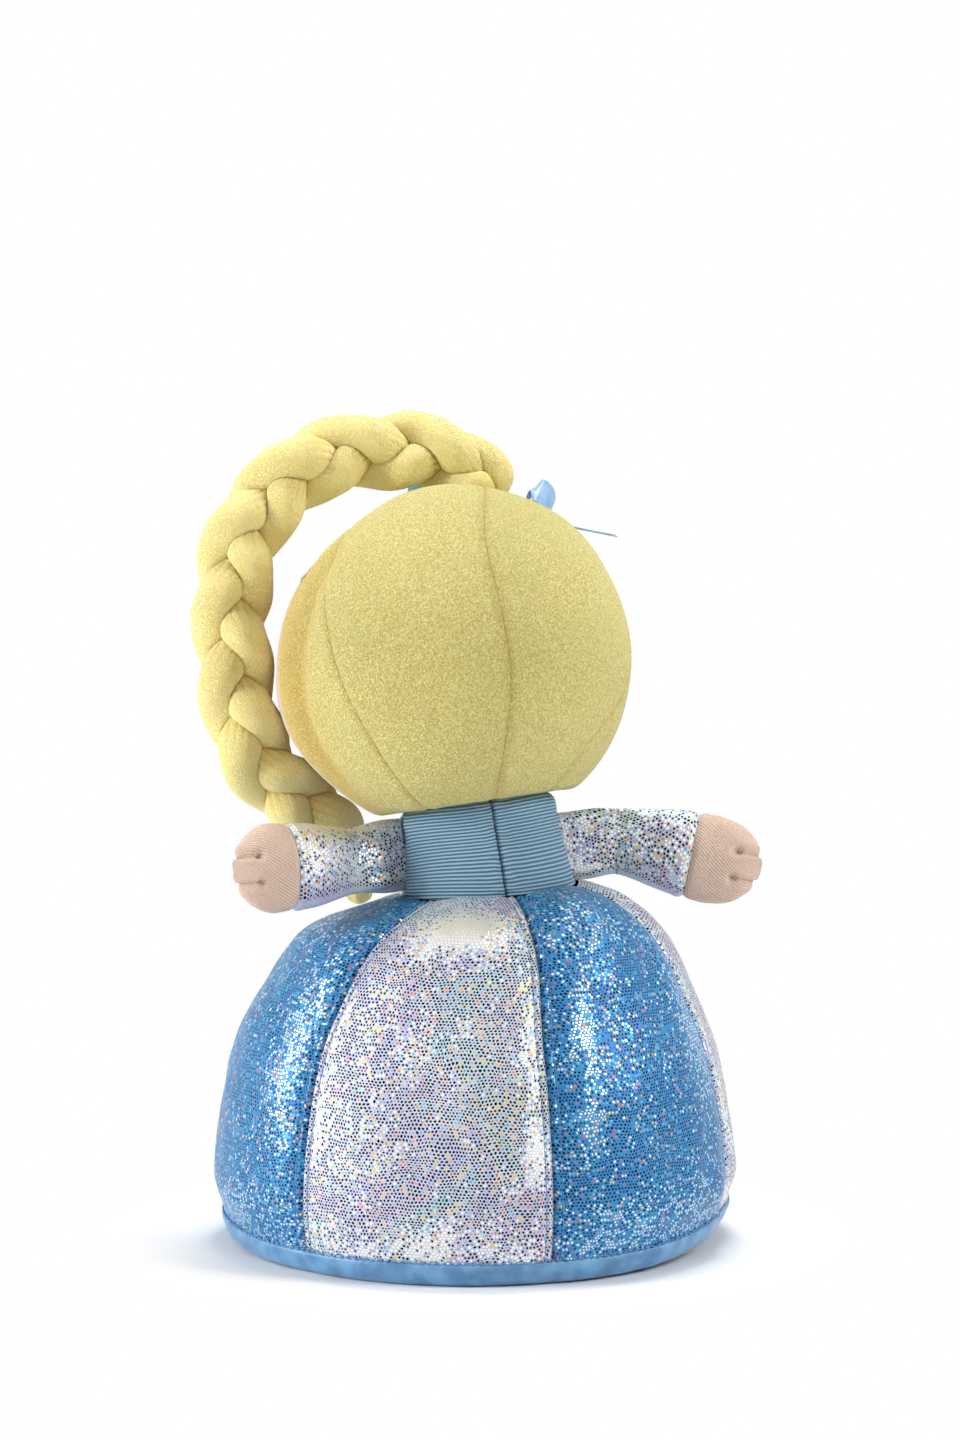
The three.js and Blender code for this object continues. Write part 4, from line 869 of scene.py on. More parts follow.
bodice_names = ("bodice_back_left", "bodice_back_right", "bodice_front")
for name, start, end in zip(bodice_names, BODICE_SEAMS, BODICE_SEAMS[1:]):
    width = (end - start) * DEG * BODICE_FLAT_RADIUS
    side = piece_columns([0, 0.15, 0.5, 0.9, 1.4, 2.0, 2.7], 3.5, 0.9, width, 3.2)[:, None]
    angle = start + side / width * (end - start)
    top = SPINE_LENGTH - math.sqrt((SOFT_SEAT + 0.5) ** 2 - COLLAR_RADIUS**2) - 0.2
    along = np.arange(-0.6, top + 0.2, 0.1)
    near = np.minimum(side, width - side)
    flat = stacked(side + start, along, 0.0)
    sway = 0.5 * wobble(flat * np.array([1, 0.3, 1]), 30, 81) + 0.25 * wobble(flat, 9, 82) * hump(near, 0, 5)
    rib = 0.5 + 0.5 * np.cos(2 * math.pi * (along + sway) / RIB_PITCH)
    relief = RIB_DEPTH * np.sqrt(rib) - RIB_DEPTH
    wave = np.cos(2 * math.pi * along / PUCKER_PITCH)
    behind = np.where(side < width / 2, start == BODICE_SEAMS[1], end == BODICE_SEAMS[1])
    pull = 1.0 * hump(near, 0, 0.8) + (0.08 + 0.37 * behind) * wave * hump(near, 2.0, 1.6)
    pull = pull - 0.35 * behind * hump(near, 2.0, 1.6)
    roll = 0.5 * hump(along, top - 5, 3) - 2.2 * ramp(top - 3.4, top + 0.8, along)
    swell = 0.3 * wobble(flat, 22, 83) * ramp(0, 6, near)
    radius = bodice_radius(along) + relief - pull + roll + swell
    radius[[0, -1]] = bodice_radius(along) - 2.4 * ramp(-2, 0, top - 3 - along) - 1.4
    grid = torso_point(angle, under_head(along, radius), radius)
    inner = np.array([[COLLAR_RADIUS - 3.6]])
    tuck = torso_point(angle, under_head(top, inner), inner)
    grid = np.concatenate([grid, tuck], 1)
    uv = stacked(side + start, np.append(along, top))
    uv[:, :-1, 1] += sway
    # Painted shade in the seams and their puckers, and along the top where the collar tucks in under the
    # head.
    mark = np.clip(0.62 * hump(near, 0, 0.6) * (0.75 + 0.25 * wave) + 0.4 * hump(along, top, 0.9), 0, 1)
    piece = sheet_mesh(name + "_cloth", grid, uv, ribbed, mark=np.concatenate([mark, mark[:, -1:]], 1))
    finish_piece(piece, "skirt_and_torso", "rib_knit", name)

facets = np.arange(0, 360, 7.5)
torso_rings = [
    bell_point(facets, 21.6, CEILING_HEIGHT + 1.4),
    bell_point(facets, 21.6, WAIST_HEIGHT - 2.0),
    torso_point(facets, -0.6, 22.0),
    torso_point(facets, -0.2, WAIST_RADIUS - 2.6),
    *[torso_point(facets, a, bodice_radius(a) - TORSO_FILL_INSET) for a in np.linspace(1, TORSO_TOP, 6)],
]
torso = tube("torso_fill", torso_rings, filling)
finish_piece(torso, "skirt_and_torso", "fibre_fill", "torso_stuffing")
neck_rings = [torso_point(facets, TORSO_TOP + 0.4, bodice_radius(TORSO_TOP) - TORSO_FILL_INSET)]
for radius in np.linspace(23.6, 4, 6):
    cup = SPINE_LENGTH - math.sqrt((SOFT_SEAT + SEAT_PLAY) ** 2 - radius**2)
    neck_rings.append(torso_point(facets, cup, radius))
neck = tube("neck_fill", neck_rings, filling)
finish_piece(neck, "neck", "fibre_fill", "neck_stuffing")

# Head: its seams' poles turn from the crown's way to the spine's

CROWN_WAY = (-0.22, -0.41, 0.88)
CROWN = Vector(UP).rotation_difference(Vector(CROWN_WAY).normalized())
SPINE_TURN = Vector(UP).rotation_difference(Vector(SPINE))

# A soft crease down the head's left, beside the braid
CREASE_ELEVATIONS = [-39.4, -26.6, -12.3, 2.9, 18, 31.9, 47.5]
CREASE_AZIMUTHS = [19.8, 13.2, 11.6, 11.9, 12.3, 10.6, 5.3]


def follow_seams(azimuth, polar):
    """Azimuths of the hair, moved with the seams on both sides: the side-back seams close in on the nape."""
    seams = HAIR_SEAMS.astype(float)
    for seam, slants in SEAM_SLANTS.items():
        seams[seam] += np.interp(polar + np.linspace(-9, 9, 7), SLANT_POLARS, slants).mean()
    return np.where(azimuth > HAIR_SEAMS[-1], azimuth, np.interp(azimuth, HAIR_SEAMS, seams))


def head_direction(azimuth, polar):
    """Directions at azimuths and polar angles of the head's seams, as [azimuth][polar]."""
    columns = []
    for p in polar:
        turn = np.array(CROWN.slerp(SPINE_TURN, float(ramp(20, 150, p))).to_matrix())
        columns.append(direction(follow_seams(np.asarray(azimuth, float), p), 90 - p) @ turn.T)
    return np.stack(columns, 1)


def head_radius(towards):
    """The head's radius in directions from its centre, and how deep they lie in the crease at its left."""
    from_spine = np.arccos(np.clip(-(towards @ SPINE), -1, 1)) / DEG
    above = 1 - (1 - np.clip((from_spine - 28.8) / 10, 0, 1)) ** 3
    radius = SOFT_SEAT + (HEAD_RADIUS - SOFT_SEAT) * above
    azimuth = np.arctan2(towards[..., 1], towards[..., 0]) / DEG
    elevation = np.arcsin(np.clip(towards[..., 2], -1, 1)) / DEG
    front = 1 - ramp(72, 102, np.abs(turned_from(azimuth, FACE_MIDDLE)))
    radius = radius + front * (2.6 * hump(elevation, -24, 22) - 3.0 * hump(elevation, 46, 24))
    crease = np.interp(elevation, CREASE_ELEVATIONS, CREASE_AZIMUTHS)
    beside = (azimuth - crease) * np.cos(elevation * DEG)
    reach = ramp(-48, -30, elevation) * (1 - ramp(38, 58, elevation))
    radius = radius - 2.6 * hump(beside, 0, 4.0) * reach + 1.0 * hump(beside, -10, 5) * reach
    return radius + 0.35 * wobble(towards * HEAD_RADIUS, 46, 91) * above, hump(beside, 2, 4.5) * reach


def finish_on_collar(piece, node):
    """The piece stays where it is built, dent from the collar included, and its frame node is hidden."""
    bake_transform(piece)
    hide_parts(node)


def head_panel(name, node, start, end, polars, hair=True, hem=False):
    """One of the head's pieces between two seams. A hem stands up a little over the face."""
    width = (end - start) * DEG * HEAD_RADIUS
    side = piece_columns([0, 0.2, 0.6, 1.0, 1.5, 2.1, 2.8, 3.6], 4.6, 1.1, width, 4.2)
    azimuth = start + side / width * (end - start)
    towards = head_direction(azimuth, polars)
    radius, crease = head_radius(towards)
    level = np.sin(np.clip(polars, 3, 177) * DEG)
    placed = np.stack([follow_seams(azimuth, p) for p in polars], 1) * DEG * HEAD_RADIUS
    near = np.minimum(placed - placed[:1], placed[-1:] - placed) * level
    along = polars * DEG * HEAD_RADIUS
    flat = stacked(side[:, None], along, 0.0)
    phase = 2 * math.pi * along / PUCKER_PITCH + 1.5 * wobble(flat * np.array([0, 1, 0]), 14, 93)
    first = (placed - placed[:1]) < (placed[-1:] - placed)
    strong = np.where(first, start == BACK_SEAM, end == BACK_SEAM)
    radius = radius - 0.24 * hump(near, 0, 1.2 + 0.8 * strong) + 0.2 * hump(near, 3.0, 2.2)
    radius = radius + 0.14 * np.sin(phase) * hump(near, 1.1, 1.4)
    # Painted shade in the seams' valleys, stronger down the back seam.
    painted_fold_shade = 0.32 * hump(near, 0, 1.3 + strong) * (0.65 + 0.35 * np.sin(phase))
    if hem:
        below = (FRINGE_EDGE - polars) * DEG * HEAD_RADIUS
        radius = radius + 0.45 * hump(below, 1.4, 1.6) + 0.2
    grid = towards * radius[..., None]
    grid[[0, -1]] = towards[[0, -1]] * (radius[[0, -1], :, None] - 0.2)
    if hem:
        grid[:, 0] = towards[:, 0] * (radius[:, 0, None] - 1.2)
    uv = stacked(side[:, None] * level, along)
    # Painted shade down the head's left beside the braid, and in the crease there; the face's knit doesn't
    # show it.
    warm = 0.42 * hump(placed / DEG / HEAD_RADIUS, 4, 13) * ramp(40, 70, polars)
    painted_fold_shade = np.maximum(painted_fold_shade, np.maximum(warm, 0.4 * crease) if hair else 0)
    material, slot = (hair_velour, "hair_velour") if hair else (peach, "peach_knit")
    finish_on_collar(sheet_mesh(name, grid + HEAD, uv, material, mark=painted_fold_shade), node)


def polar_steps(low, high):
    """Polar angles from high down to low, about a degree apart."""
    return np.arange(high, low - 1e-6, -(high - low) / round(high - low))


hair_polars = polar_steps(CROWN_EDGE, NECK_EDGE)
for i, node in enumerate(("hair_side_left", "hair_back_left", "hair_back_right", "hair_side_right")):
    head_panel(node + "_cloth", node, HAIR_SEAMS[i], HAIR_SEAMS[i + 1], hair_polars)
fringe_polars = polar_steps(CROWN_EDGE, FRINGE_EDGE)
head_panel("fringe_right_cloth", "fringe_right", FACE_START, FRINGE_SEAM, fringe_polars, hem=True)
head_panel("fringe_left_cloth", "fringe_left", FRINGE_SEAM, FACE_END, fringe_polars, hem=True)
face_polars = polar_steps(FRINGE_EDGE - 1.5, NECK_EDGE)
head_panel("face_cloth", "face_panel", FACE_START, FACE_END, face_polars, hair=False)

ball_polars = np.arange(178, 1, -4.0)
ball = head_direction(np.arange(0, 360, 5.0), ball_polars)
ball_grid = ball * (head_radius(ball)[0] - 2.6)[..., None] + HEAD
head_fill = sheet_mesh("head_fill", ball_grid, tube_uv(ball_grid), filling, closed=True, capped=(True, True))
finish_on_collar(head_fill, "head_stuffing")

# Embroidered face: a plain doll's


def on_face(azimuth, elevation):
    middle = direction(azimuth, elevation)
    turn = np.array(Vector((0, -1, 0)).rotation_difference(Vector(middle)).to_matrix())

    def point(x, z, lift):
        x, z, lift = together(x, z, lift)
        towards = unit(stacked(x, np.full(x.shape, -HEAD_RADIUS), z) @ turn.T)
        return HEAD + towards * (head_radius(towards)[0] + lift)[..., None]

    return point


def embroidered(name, point, half_width, half_height, lift, material, x0=0.0, z0=0.0):
    """A raised oval of satin stitch."""
    turn = np.arange(0, 360, 7.5) * DEG
    share = np.linspace(1, 0, 9)[:-1]
    x = x0 + half_width * np.cos(turn)[:, None] * share
    z = z0 + half_height * np.sin(turn)[:, None] * share
    height = lift * np.sqrt(1 - share**2 * 0.999) + 0.05 * np.sin(x * 9)
    height[:, 0] = -0.3
    grid = point(x, z, height)
    return sheet_mesh(name, grid, tube_uv(grid), material, closed=True, capped=(False, True))


EYE_TURN, EYE_LEVEL, EYE_HALVES, GLINT_HALVES = 22, -4, (3.5, 5.0), (1.0, 1.3)
MOUTH_LEVEL, MOUTH_WIDTH, MOUTH_DROP, MOUTH_THREAD_RADIUS = -22, 14, 2.2, 0.75
for side, turn in (("right", -EYE_TURN), ("left", EYE_TURN)):
    point = on_face(FACE_MIDDLE + turn, EYE_LEVEL)
    eye = embroidered(side + "_eye_stitching", point, *EYE_HALVES, 1.0, eye_thread)
    finish_piece(eye, "head", "eye_thread", side + "_eye")
    glint = embroidered(side + "_eye_glint", point, *GLINT_HALVES, 1.35, glint_thread, 1.0, 1.9)
    finish_piece(glint, "head", "eye_thread")
mouth_point = on_face(FACE_MIDDLE, MOUTH_LEVEL)
mouth_run = np.linspace(-MOUTH_WIDTH / 2, MOUTH_WIDTH / 2, 57)
mouth_way = MOUTH_DROP * (2 * mouth_run / MOUTH_WIDTH) ** 2
mouth_rings = []
for x, z in zip(mouth_run, mouth_way):
    size = MOUTH_THREAD_RADIUS * math.sqrt(max(0.05, 1 - (x / 7.05) ** 6)) * (1 + 0.12 * math.sin(x * 7))
    turn = np.arange(0, 360, 36) * DEG
    mouth_rings.append(mouth_point(x, z + size * np.cos(turn), 0.15 + size * np.sin(turn)))
mouth = tube("mouth_stitching", mouth_rings, mouth_thread)
finish_piece(mouth, "head", "mouth_thread", "mouth")

# Arms

PIVOT_OFFSET = TAB_REACH + GAP + ARM_ROOT_RADIUS
TAB_CUP = ARM_ROOT_RADIUS + GAP


def arm_halves(along):
    """Half height and half thickness of the arm at distances from its pivot."""
    along = np.asarray(along, float)
    root_height = np.sqrt(np.maximum(0, ARM_ROOT_RADIUS**2 - along**2))
    root_thick = ARM_ROOT_THICKNESS / 2 + (along + ARM_ROOT_RADIUS) * 0.6 / ARM_ROOT_RADIUS
    share = ramp(-0.35, 1, along / SLEEVE_LENGTH)
    root_share = float(ramp(-0.35, 1, 0.0))
    grown = (share - root_share) / (1 - root_share)
    root_half = ARM_ROOT_THICKNESS / 2 + 0.6
    sleeve_height = ARM_ROOT_RADIUS + (WRIST_HEIGHT / 2 - ARM_ROOT_RADIUS) * grown
    sleeve_thick = root_half + (WRIST_THICKNESS / 2 - root_half) * grown
    hand = np.clip((along - SLEEVE_LENGTH) / (ARM_LENGTH - SLEEVE_LENGTH), 0, 1)
    rounded = np.sqrt(np.maximum(0, 1 - hand**2.6))
    swell = ramp(0, 0.35, hand)
    hand_height = (WRIST_HEIGHT / 2 + (HAND_HEIGHT - WRIST_HEIGHT) / 2 * swell) * rounded
    hand_thick = (WRIST_THICKNESS / 2 + (HAND_THICKNESS - WRIST_THICKNESS) / 2 * swell) * rounded**1.3
    parts = ((root_height, sleeve_height, hand_height), (root_thick, sleeve_thick, hand_thick))
    return [np.maximum(0.3, np.where(along < 0, root, np.where(along <= SLEEVE_LENGTH, sleeve, hand)))
            for root, sleeve, hand in parts]


def arm_grid(stations, angles, relief):
    height, thick = arm_halves(stations)
    turn = angles[:, None] * DEG
    y = (thick + relief) * np.cos(turn)
    z = (height + relief) * np.sin(turn)
    return stacked(stations, y, z)


def moved(grid, matrix):
    turn = np.array(matrix.to_3x3())
    return grid @ turn.T + np.array(matrix.translation)


for number, (side, across, along, rise) in enumerate(ARM_SIDES):
    seam = torso_point(across, along, float(bodice_radius(along - TAB_CUP)) + GAP + TAB_THICKNESS / 2)
    out = ARM_BACK if across == 0 else across - ARM_BACK
    outward = SPINE_TURN @ Quaternion((0, 0, 1), out * DEG)
    sweep = Matrix.Translation(seam.tolist()) @ outward.to_matrix().to_4x4()
    raised = sweep @ Matrix.Translation((PIVOT_OFFSET, 0, 0)) @ Matrix.Rotation(-rise * DEG, 4, "Y")
    round_arm = np.arange(0, 360, 3.0)

    # The sleeve is one cloth with its flat sewn end, and bends where the arm rises
    wrist = PIVOT_OFFSET + SLEEVE_LENGTH
    run = np.concatenate([np.arange(-4.1, 16, 0.5), np.linspace(16, wrist, 50)])
    way = np.array([math.cos(rise * DEG), 0, math.sin(rise * DEG)])
    pivot, bend = np.array([PIVOT_OFFSET, 0, 0]), 8.0
    share = np.clip((run - PIVOT_OFFSET + bend) / (2 * bend), 0, 1)[:, None]
    before, after = pivot - np.array([bend, 0, 0]), pivot + way * bend
    curve = before * (1 - share) ** 2 + 2 * pivot * share * (1 - share) + after * share**2
    middle = np.where(share <= 0, np.array([1.0, 0, 0]) * run[:, None], curve)
    middle = np.where(share >= 1, pivot + way * (run[:, None] - PIVOT_OFFSET), middle)
    lean = unit(np.gradient(middle, axis=0))
    upward = stacked(-lean[:, 2], np.zeros(len(run)), lean[:, 0])
    tall, thick = arm_halves(np.maximum(run - PIVOT_OFFSET, 0.0))
    near_root = 1 - ramp(2, 26, run)
    tall = tall + (SEWN_HALF_HEIGHT - ARM_ROOT_RADIUS) * near_root
    thick = thick - 0.7 * (1 - ramp(-2, 8, run))
    turn = round_arm[:, None] * DEG
    ring = stacked(run, 9 * np.cos(turn), 9 * np.sin(turn))
    folds = 0.55 * wobble(ring * np.array([0.3, 1, 1.2]), 9, 101 + number) * hump(run, 3, 11)
    swell = 0.4 * wobble(ring, 22, 111 + number) * ramp(8, 20, run)
    cuff = -0.8 * hump(run, wrist, 0.9) + 0.3 * hump(run, wrist - 2.4, 1.3)
    relief = folds + swell + cuff
    side_way = np.array([0.0, 1, 0])
    grid = (middle + side_way * ((thick + relief) * np.cos(turn))[..., None]
            + upward * ((tall + relief) * np.sin(turn))[..., None])
    lip = middle[-1] + (grid[:, -1:] - middle[-1]) * 0.84
    grid = np.concatenate([grid, lip], 1)
    # Painted highlight on the sleeve: some everywhere, more in a band along its upper side, and none on its
    # underside, where its dots fade.
    painted_glare = 0.42 + 0.5 * hump(round_arm, 72, 16) - 1.2 * ramp(225, 250, round_arm) * ramp(325, 300, round_arm)
    painted_glare = np.repeat(painted_glare[:, None], grid.shape[1], axis=1)
    sleeve = sheet_mesh(side + "_sleeve_cloth", moved(grid, sweep), tube_uv(grid), silver_foil, closed=True,
                        capped=(True, False), mark=painted_glare)
    start = sweep @ Vector((2.0, 0, 0))
    end = sweep @ Vector((pivot + way * 5).tolist())
    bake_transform(sleeve)
    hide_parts(side + "_sleeve", side + "_arm_tab")

    # The hand is a mitt with two stitched tucks that part its fingers
    reach = np.sin(np.linspace(0, 1, 60) * math.pi / 2)
    stations = SLEEVE_LENGTH + 0.1 + (ARM_LENGTH - 0.15 - SLEEVE_LENGTH) * reach
    shorter = LEFT_HAND_SHORTER * ramp(SLEEVE_LENGTH + 4, ARM_LENGTH, stations) * (side == "left")
    height, thick = arm_halves(stations)
    turn = round_arm[:, None] * DEG
    z_flat = height * np.sin(turn)
    ring = stacked(stations, 9 * np.cos(turn), z_flat)
    relief = 0.25 * wobble(ring, 13, 121 + number)
    from_tip = ARM_LENGTH - stations
    for place in FINGER_TUCKS:
        line = hump(z_flat, place, 0.8)
        relief = relief - (1.3 * line * (1 - ramp(8, 12, from_tip))
                           + 2.2 * hump(z_flat, place, 1.5) * hump(from_tip, 9.6, 1.6))
        relief = relief + 0.35 * hump(np.abs(z_flat - place), 2.4, 1.5) * (1 - ramp(5, 14, from_tip))
    relief = relief - 0.9 * hump(stations, SLEEVE_LENGTH, 1.0)
    grid = arm_grid(stations, round_arm, relief)
    notch = sum(0.9 * hump(z_flat, place, 1.2) for place in FINGER_TUCKS) * hump(from_tip, 0, 5)
    grid[..., 0] -= notch + shorter
    hand = sheet_mesh(side + "_hand_knit", moved(grid, raised), tube_uv(grid), peach, closed=True,
                      capped=(False, True))
    finish_piece(hand, side + "_arm", "peach_knit", side + "_hand")

    stations = np.linspace(ARM_FILL_START, ARM_LENGTH - ARM_FILL_SHORTER, 36)
    grid = arm_grid(stations, np.arange(0, 360, 15.0), -ARM_FILL_INSET)
    fill = sheet_mesh(side + "_arm_fill", moved(grid, raised), tube_uv(grid), filling, closed=True,
                      capped=(True, True))
    finish_piece(fill, side + "_arm", "fibre_fill", side + "_arm_stuffing")

# Braid


def centripetal(points, per_span=60):
    """three's centripetal Catmull-Rom curve through points, finely sampled."""
    points = np.asarray(points, float)
    before = 2 * points[0] - points[1]
    after = 2 * points[-1] - points[-2]
    all_points = np.concatenate([[before], points, [after]])
    out = []
    for i in range(len(points) - 1):
        p0, p1, p2, p3 = all_points[i : i + 4]
        d0, d1, d2 = (max(1e-4, np.linalg.norm(b - a) ** 0.5) for a, b in ((p0, p1), (p1, p2), (p2, p3)))
        t1 = ((p1 - p0) / d0 - (p2 - p0) / (d0 + d1) + (p2 - p1) / d1) * d1
        t2 = ((p2 - p1) / d1 - (p3 - p1) / (d1 + d2) + (p3 - p2) / d2) * d1
        w = np.linspace(0, 1, per_span, endpoint=False)[:, None]
        out.append(cubic(p1, p2, t1, t2, w))
    out.append(points[-1:])
    return np.concatenate(out)


route = centripetal([direction(a, e) * HEAD_RADIUS * d for a, e, d in BRAID_ROUTE])
route_run = distances(route)
BRAID_LENGTH = float(route_run[-1])


def route_point(along):
    return stacked(*(np.interp(along, route_run, route[:, k]) for k in range(3)))


def braid_frame(along):
    """The route's point, and its ways to the side and deep, at distances along it."""
    tangent = unit(route_point(along + 0.6) - route_point(along - 0.6))
    deep = unit(BRAID_FLAT_NORMAL - tangent * (tangent @ BRAID_FLAT_NORMAL)[..., None])
    return route_point(along) + HEAD, np.cross(deep, tangent), deep


def braid_share(along):
    rooted = BRAID_ROOT_SHARE + (1 - BRAID_ROOT_SHARE) * ramp(-0.25, 1, along / BRAID_ROOT_LENGTH)
    return rooted * (1 + (BRAID_END_SHARE - 1) * ramp(TIE_START - BRAID_END_LENGTH, TIE_START, along))


def strand_middle(along, share, strand):
    phase = 2 * math.pi * (along / BRAID_PITCH + strand / 3)
    across, deep = STRAND_SWING
    return stacked(across * share * np.sin(phase), deep * share * np.sin(2 * phase)), phase


SOFTNESS = 3.6  # of the bend where two strands press on each other


def strand_mesh(strand):
    along = np.arange(0, TIE_START - GAP, 0.7)
    rounded = 1 - np.clip(along / 9, 0, 1)
    share = braid_share(along) * (0.3 + 0.7 * np.sqrt(1 - rounded**2))
    own, phase = strand_middle(along, share, strand)
    angle = np.arange(0, 360, 4.0) * DEG
    ray = stacked(np.cos(angle), np.sin(angle))
    free = (STRAND_RADIUS * share)[:, None] * (1 - 0.16 * np.abs(ray[:, 1]))
    soft = np.exp(-free * SOFTNESS)
    for other in {0, 1, 2} - {strand}:
        apart = strand_middle(along, share, other)[0] - own
        distance = np.linalg.norm(apart, axis=1)
        towards = (apart / distance[:, None]) @ ray.T
        limit = (distance / 2 + 0.15)[:, None] / np.maximum(towards, 0.05)
        soft = soft + np.exp(-np.minimum(limit, 60) * SOFTNESS)
    length = np.maximum(0.5, -np.log(soft) / SOFTNESS)
    kernel = np.hanning(9)
    kernel /= kernel.sum()
    padded = np.pad(length, ((4, 4), (0, 0)), mode="edge")
    length = sum(kernel[k] * padded[k : k + len(along)] for k in range(9))
    middle, side, deep = (part[:, None] for part in braid_frame(along))

    def rings_out(reach):
        offsets = own[:, None] + ray * reach[..., None]
        return middle + side * offsets[..., :1] + deep * offsets[..., 1:]

    tucked = hump((phase[:, None] + 0.5) % math.pi, 0.35, 0.5)
    creases = np.sin(7 * angle + 2.2 * np.sin(phase)[:, None])
    folds = 0.6 * (np.abs(creases) ** 0.6 - 0.6) * tucked
    swell = 0.22 * wobble(rings_out(length), 15, 131 + strand)
    pressed = 1 - length / free
    # Painted shade where the strands press on each other and in their tucked creases.
    painted_fold_shade = np.clip(0.95 * ramp(0.1, 0.45, pressed) + 0.8 * tucked * hump(creases, 0, 0.28), 0, 1)
    return rings_out(length + folds * np.minimum(length, 6) / 6 + swell), painted_fold_shade


for strand in (0, 1, 2):
    rings, painted_fold_shade = strand_mesh(strand)
    node = "braid_strand_" + str(strand + 1)
    piece = tube(node + "_velour", rings, braid_velour, painted_fold_shade)
    finish_piece(piece, "braid", "hair_velour", node)


def braid_round(along, radius, flutes=0, depth=0.0):
    middle, side, deep = braid_frame(np.array([along]))
    angle = np.arange(48) * 2 * math.pi / 48
    size = radius + depth * np.cos(angle * flutes)
    return middle + side * (size * np.cos(angle))[:, None] + deep * (size * np.sin(angle))[:, None]


tie_rings = []
for s in np.linspace(0, 1, 16):
    radius = TIE_RADIUS - 0.7 * abs(2 * s - 1) ** 3 + 0.1 * math.sin(s * 25)
    tie_rings.append(braid_round(TIE_START + s * TIE_LENGTH, radius))
tie = tube("braid_tie_ribbon", tie_rings, bow_satin)
finish_piece(tie, "braid", "satin", "braid_tie")
tail_start = TIE_START + TIE_LENGTH + GAP
tail_share = np.linspace(0, 1, 60)
tail_radius = TAIL_RADIUS * np.interp(tail_share, [0, 0.35, 0.7, 0.92, 1], [0.72, 0.88, 0.8, 0.55, 0.15])
tail_length = TAIL_SHARE * (BRAID_LENGTH - tail_start)
tail_rings = [braid_round(tail_start + tail_length * s, r, flutes=7, depth=0.35 * (1 - s))
              for s, r in zip(tail_share, tail_radius)]
tail = tube("braid_tail_velour", tail_rings, braid_velour)
finish_piece(tail, "braid", "hair_velour", "braid_tail")

# Bow

bow_out = direction(*BOW_PLACE)
bow_turn = Vector(UP).rotation_difference(Vector(bow_out)) @ Quaternion((0, 0, 1), BOW_TURN * DEG)
bow_middle = HEAD + bow_out * (HEAD_RADIUS + BOW_HEIGHT)
bow_matrix = Matrix.Translation(bow_middle.tolist()) @ bow_turn.to_matrix().to_4x4()
PINCH_WIDTH, PINCH_REACH, PINCH_LIFT = RIBBON_WIDTH / 2, KNOT_WIDTH / 2 + 0.5, RIBBON / 2 + GAP / 2


def ribbon(name, path, looped, node, twist):
    """Ribbon along a path in the bow's upright plane, gathered at the knot and twisted away from it."""
    path = np.asarray(path, float)
    if looped:
        path = np.concatenate([path, path[:1]])
    fine = centripetal(np.concatenate([path, np.zeros((len(path), 1))], 1), 14)[:, :2]
    if looped:
        fine = fine[:-1]
        way = np.roll(fine, -1, 0) - np.roll(fine, 1, 0)
    else:
        way = np.gradient(fine, axis=0)
    way = unit(way)
    from_knot = np.abs(fine[:, 0])
    opened = ramp(PINCH_REACH, PINCH_REACH + RIBBON_WIDTH / 3, from_knot)
    half = (PINCH_WIDTH + (RIBBON_WIDTH - PINCH_WIDTH) * opened) / 2
    across = np.linspace(-1, 1, 25)
    gather = 1 - ramp(PINCH_REACH, PINCH_REACH + 6, from_knot)
    lift = 0.1 * gather[:, None] * np.cos(across * 9) + 0.12 * np.cos(across * 3.1)
    out = half[:, None] * across
    x = fine[:, :1] - way[:, 1:] * lift
    z = fine[:, 1:] + way[:, :1] * lift
    turn = twist * DEG * ramp(PINCH_REACH - 1, LOOP_LENGTH * 0.6, np.abs(fine[:, :1])) * np.sign(fine[:, :1])
    core = LOOP_RISE * 0.6 if looped else fine[:, 1:]
    y = out * np.cos(turn) - (z - core) * np.sin(turn)
    grid = stacked(x, y, core + out * np.sin(turn) + (z - core) * np.cos(turn))
    run = distances(fine)
    placed = moved(grid, bow_matrix)
    uv = stacked(run[:, None], (across * RIBBON_WIDTH / 2))
    if looped:
        uv = np.concatenate([uv, uv[:1] + [run[-1] + 0.5, 0]])
    piece = sheet_mesh(name, placed, uv, bow_satin, closed=looped)
    thicken(piece, RIBBON_THICKNESS, 0.0)
    finish_piece(piece, "head", "satin", node)


right_loop = [
    (0, PINCH_LIFT), (PINCH_REACH, PINCH_LIFT + LOOP_RISE * 0.1),
    (LOOP_LENGTH * 0.36, PINCH_LIFT + LOOP_RISE * 0.72), (LOOP_LENGTH * 0.6, PINCH_LIFT + LOOP_RISE * 0.92),
    (LOOP_LENGTH * 0.88, PINCH_LIFT + LOOP_RISE * 0.72), (LOOP_LENGTH, PINCH_LIFT + LOOP_RISE * 0.3),
    (LOOP_LENGTH * 0.9, -PINCH_LIFT), (LOOP_LENGTH * 0.55, -PINCH_LIFT), (PINCH_REACH, -PINCH_LIFT),
    (0, -PINCH_LIFT),
]
left_loop = [(-x, z) for x, z in right_loop[1:-1]]
ribbon("bow_loop_ribbon", right_loop + left_loop[::-1], True, "bow_loops", LOOP_TWIST)
tail_lift = -PINCH_LIFT - RIBBON - GAP
reaches = np.linspace(PINCH_REACH, TAIL_LENGTH, 7)
tail_path = [(x, tail_lift - TAIL_DROP * ((abs(x) - PINCH_REACH) / (TAIL_LENGTH - PINCH_REACH)) ** 2)
             for x in [*(-reaches)[::-1], *reaches]]
ribbon("bow_tail_ribbon", tail_path, False, "bow_tails", TAIL_TWIST)

